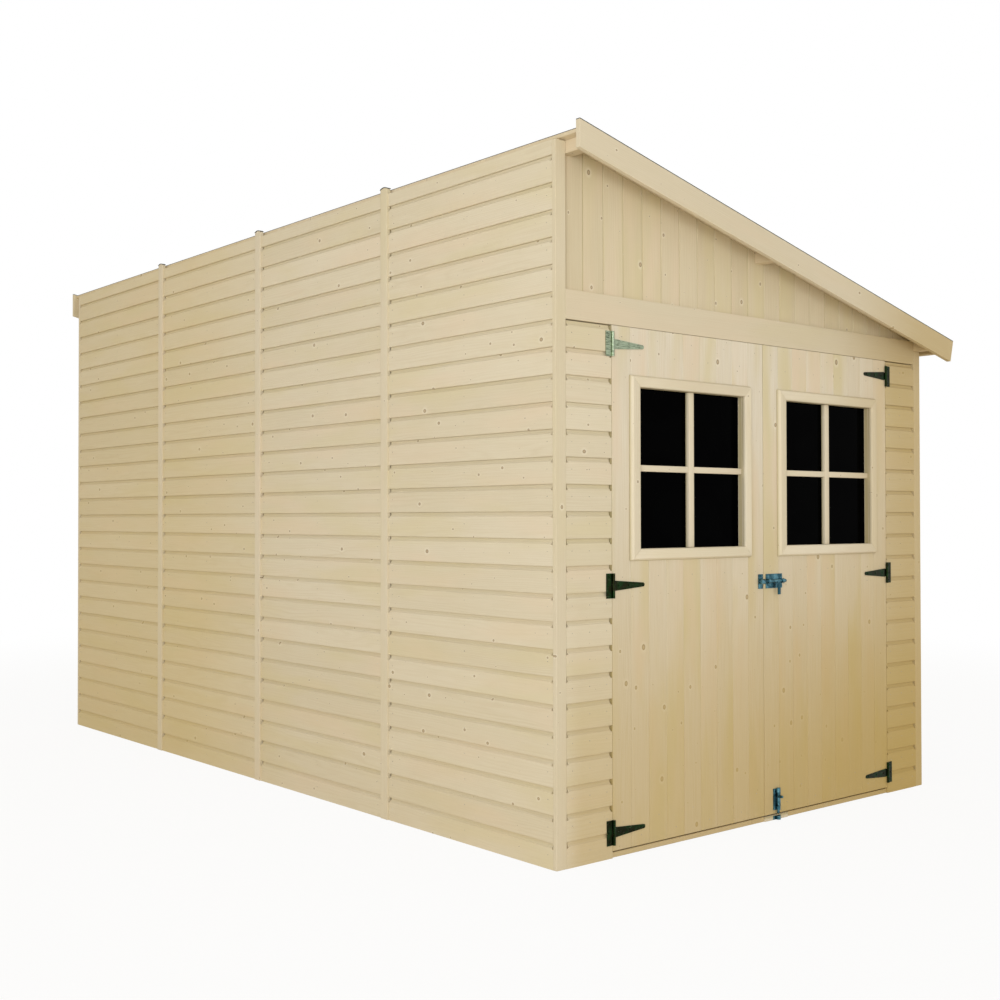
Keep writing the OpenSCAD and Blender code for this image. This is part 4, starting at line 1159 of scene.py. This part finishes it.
def join(meshes, material):
    build = bmesh.new()
    for mesh in meshes:
        build.from_mesh(mesh)
        bpy.data.meshes.remove(mesh)
    whole = bpy.data.meshes.new("joined")
    build.to_mesh(whole)
    build.free()
    whole.materials.append(material)
    return whole


driven = [drive(nails, BRAD, 20 + k, nail_steel, where) for k, (where, nails) in enumerate(wall_nails)]
settle(join(driven, nail_steel), "wall_nails", "shed")

felt_points = solids_of("roof_felt")[0]
(felt_start, felt_end), felt_crown = span_of(felt_points, DOWN_SLOPE), span_of(felt_points, OFF_ROOF)[1]
lap_width = (felt_end - felt_start) / SHEETS
clouts = []
for number in range(SHEETS):
    lift = LAP_LIFT if number < SHEETS - 1 else 0
    reach = felt_start + (number + 1) * lap_width - CLOUT_EDGE
    y = felt_low.y + CLOUT_EDGE
    while y < felt_high.y:
        clouts.append((reach, y, felt_crown + lift - CLOUT_SINK))
        y += CLOUT_SPACING
roof_plane = placement(Vector(), DOWN_SLOPE, NORTH, OFF_ROOF)
settle(drive(clouts, CLOUT, 51, nail_steel, roof_plane), "felt_nails", "shed")

for side in ("left", "right"):
    low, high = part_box(side + "_door_leaf")
    places = []
    for solid in solids_of(side + "_door_ledges"):
        batten_low, batten_high = box_of(solid)
        for number in range(DOOR_BOARDS):
            rise = (batten_low.z + batten_high.z) / 2 + NAIL_SWING * (-1) ** number
            reach = low.x + (high.x - low.x) * (number + 0.5) / DOOR_BOARDS
            places.append((reach, rise, -low.y - VEE["Unevenness"]))
    settle(drive(places, BRAD, 52, nail_steel, FRONT), side + "_door_nails", side + "_door")

# %% [markdown]
# The screws of the ironwork follow the iron: three in each hinge plate, three along each strap, one in
# each corner of the two bolt cases and two down the middle of the slide bolt's catch. Their places are
# measured from the solids, so they can't miss.

# %% Screws of the hinges and bolts
IRON_THICK, PLATE_EDGE, PLATE_INSET, MIDDLE_INSET = 0.0025, 0.012, 0.014, 0.009
STRAP_HOLES = (0.034, 0.082, 0.138)
SLIDE_INSET, FOOT_INSET, CATCH_INSET = 0.008, 0.007, 0.006
HINGE_SCREW = screw_head(radius=0.0042, height=0.0016)
BOLT_SCREW = screw_head(radius=0.0035, height=0.0014)

places = []
for solid in solids_of("hinge_plates"):
    low, high = box_of(solid)
    start, inward = (low.x, 1) if low.x + high.x < 0 else (high.x, -1)
    middle = (low.z + high.z) / 2
    ends = [(low.z + PLATE_EDGE, PLATE_INSET), (high.z - PLATE_EDGE, PLATE_INSET)]
    for rise, inset in ends + [(middle, MIDDLE_INSET)]:
        places.append((start + inward * inset, rise, IRON_THICK - high.y))
settle(drive(places, HINGE_SCREW, 11, iron, FRONT), "hinge_plate_screws", "shed")

for side in ("left", "right"):
    places = []
    for solid in solids_of(side + "_hinge_straps"):
        low, high = box_of(solid)
        pin, toward = (low.x, 1) if side == "left" else (high.x, -1)
        places += [(pin + toward * hole, (low.z + high.z) / 2, IRON_THICK - high.y) for hole in STRAP_HOLES]
    settle(drive(places, HINGE_SCREW, 12, iron, FRONT), side + "_strap_screws", side + "_door")

for node, body, inset in (("slide_bolt_case", "right_door", SLIDE_INSET),
                          ("foot_bolt_case", "right_door", FOOT_INSET),
                          ("slide_bolt_catch", "left_door", CATCH_INSET)):
    low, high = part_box(node)
    columns = (low.x + inset, high.x - inset)
    if node == "slide_bolt_catch":
        columns = ((low.x + high.x) / 2,)
    places = [(x, z, IRON_THICK - high.y) for x in columns for z in (low.z + inset, high.z - inset)]
    settle(drive(places, BOLT_SCREW, 13, zinc, FRONT), node + "_screws", body)
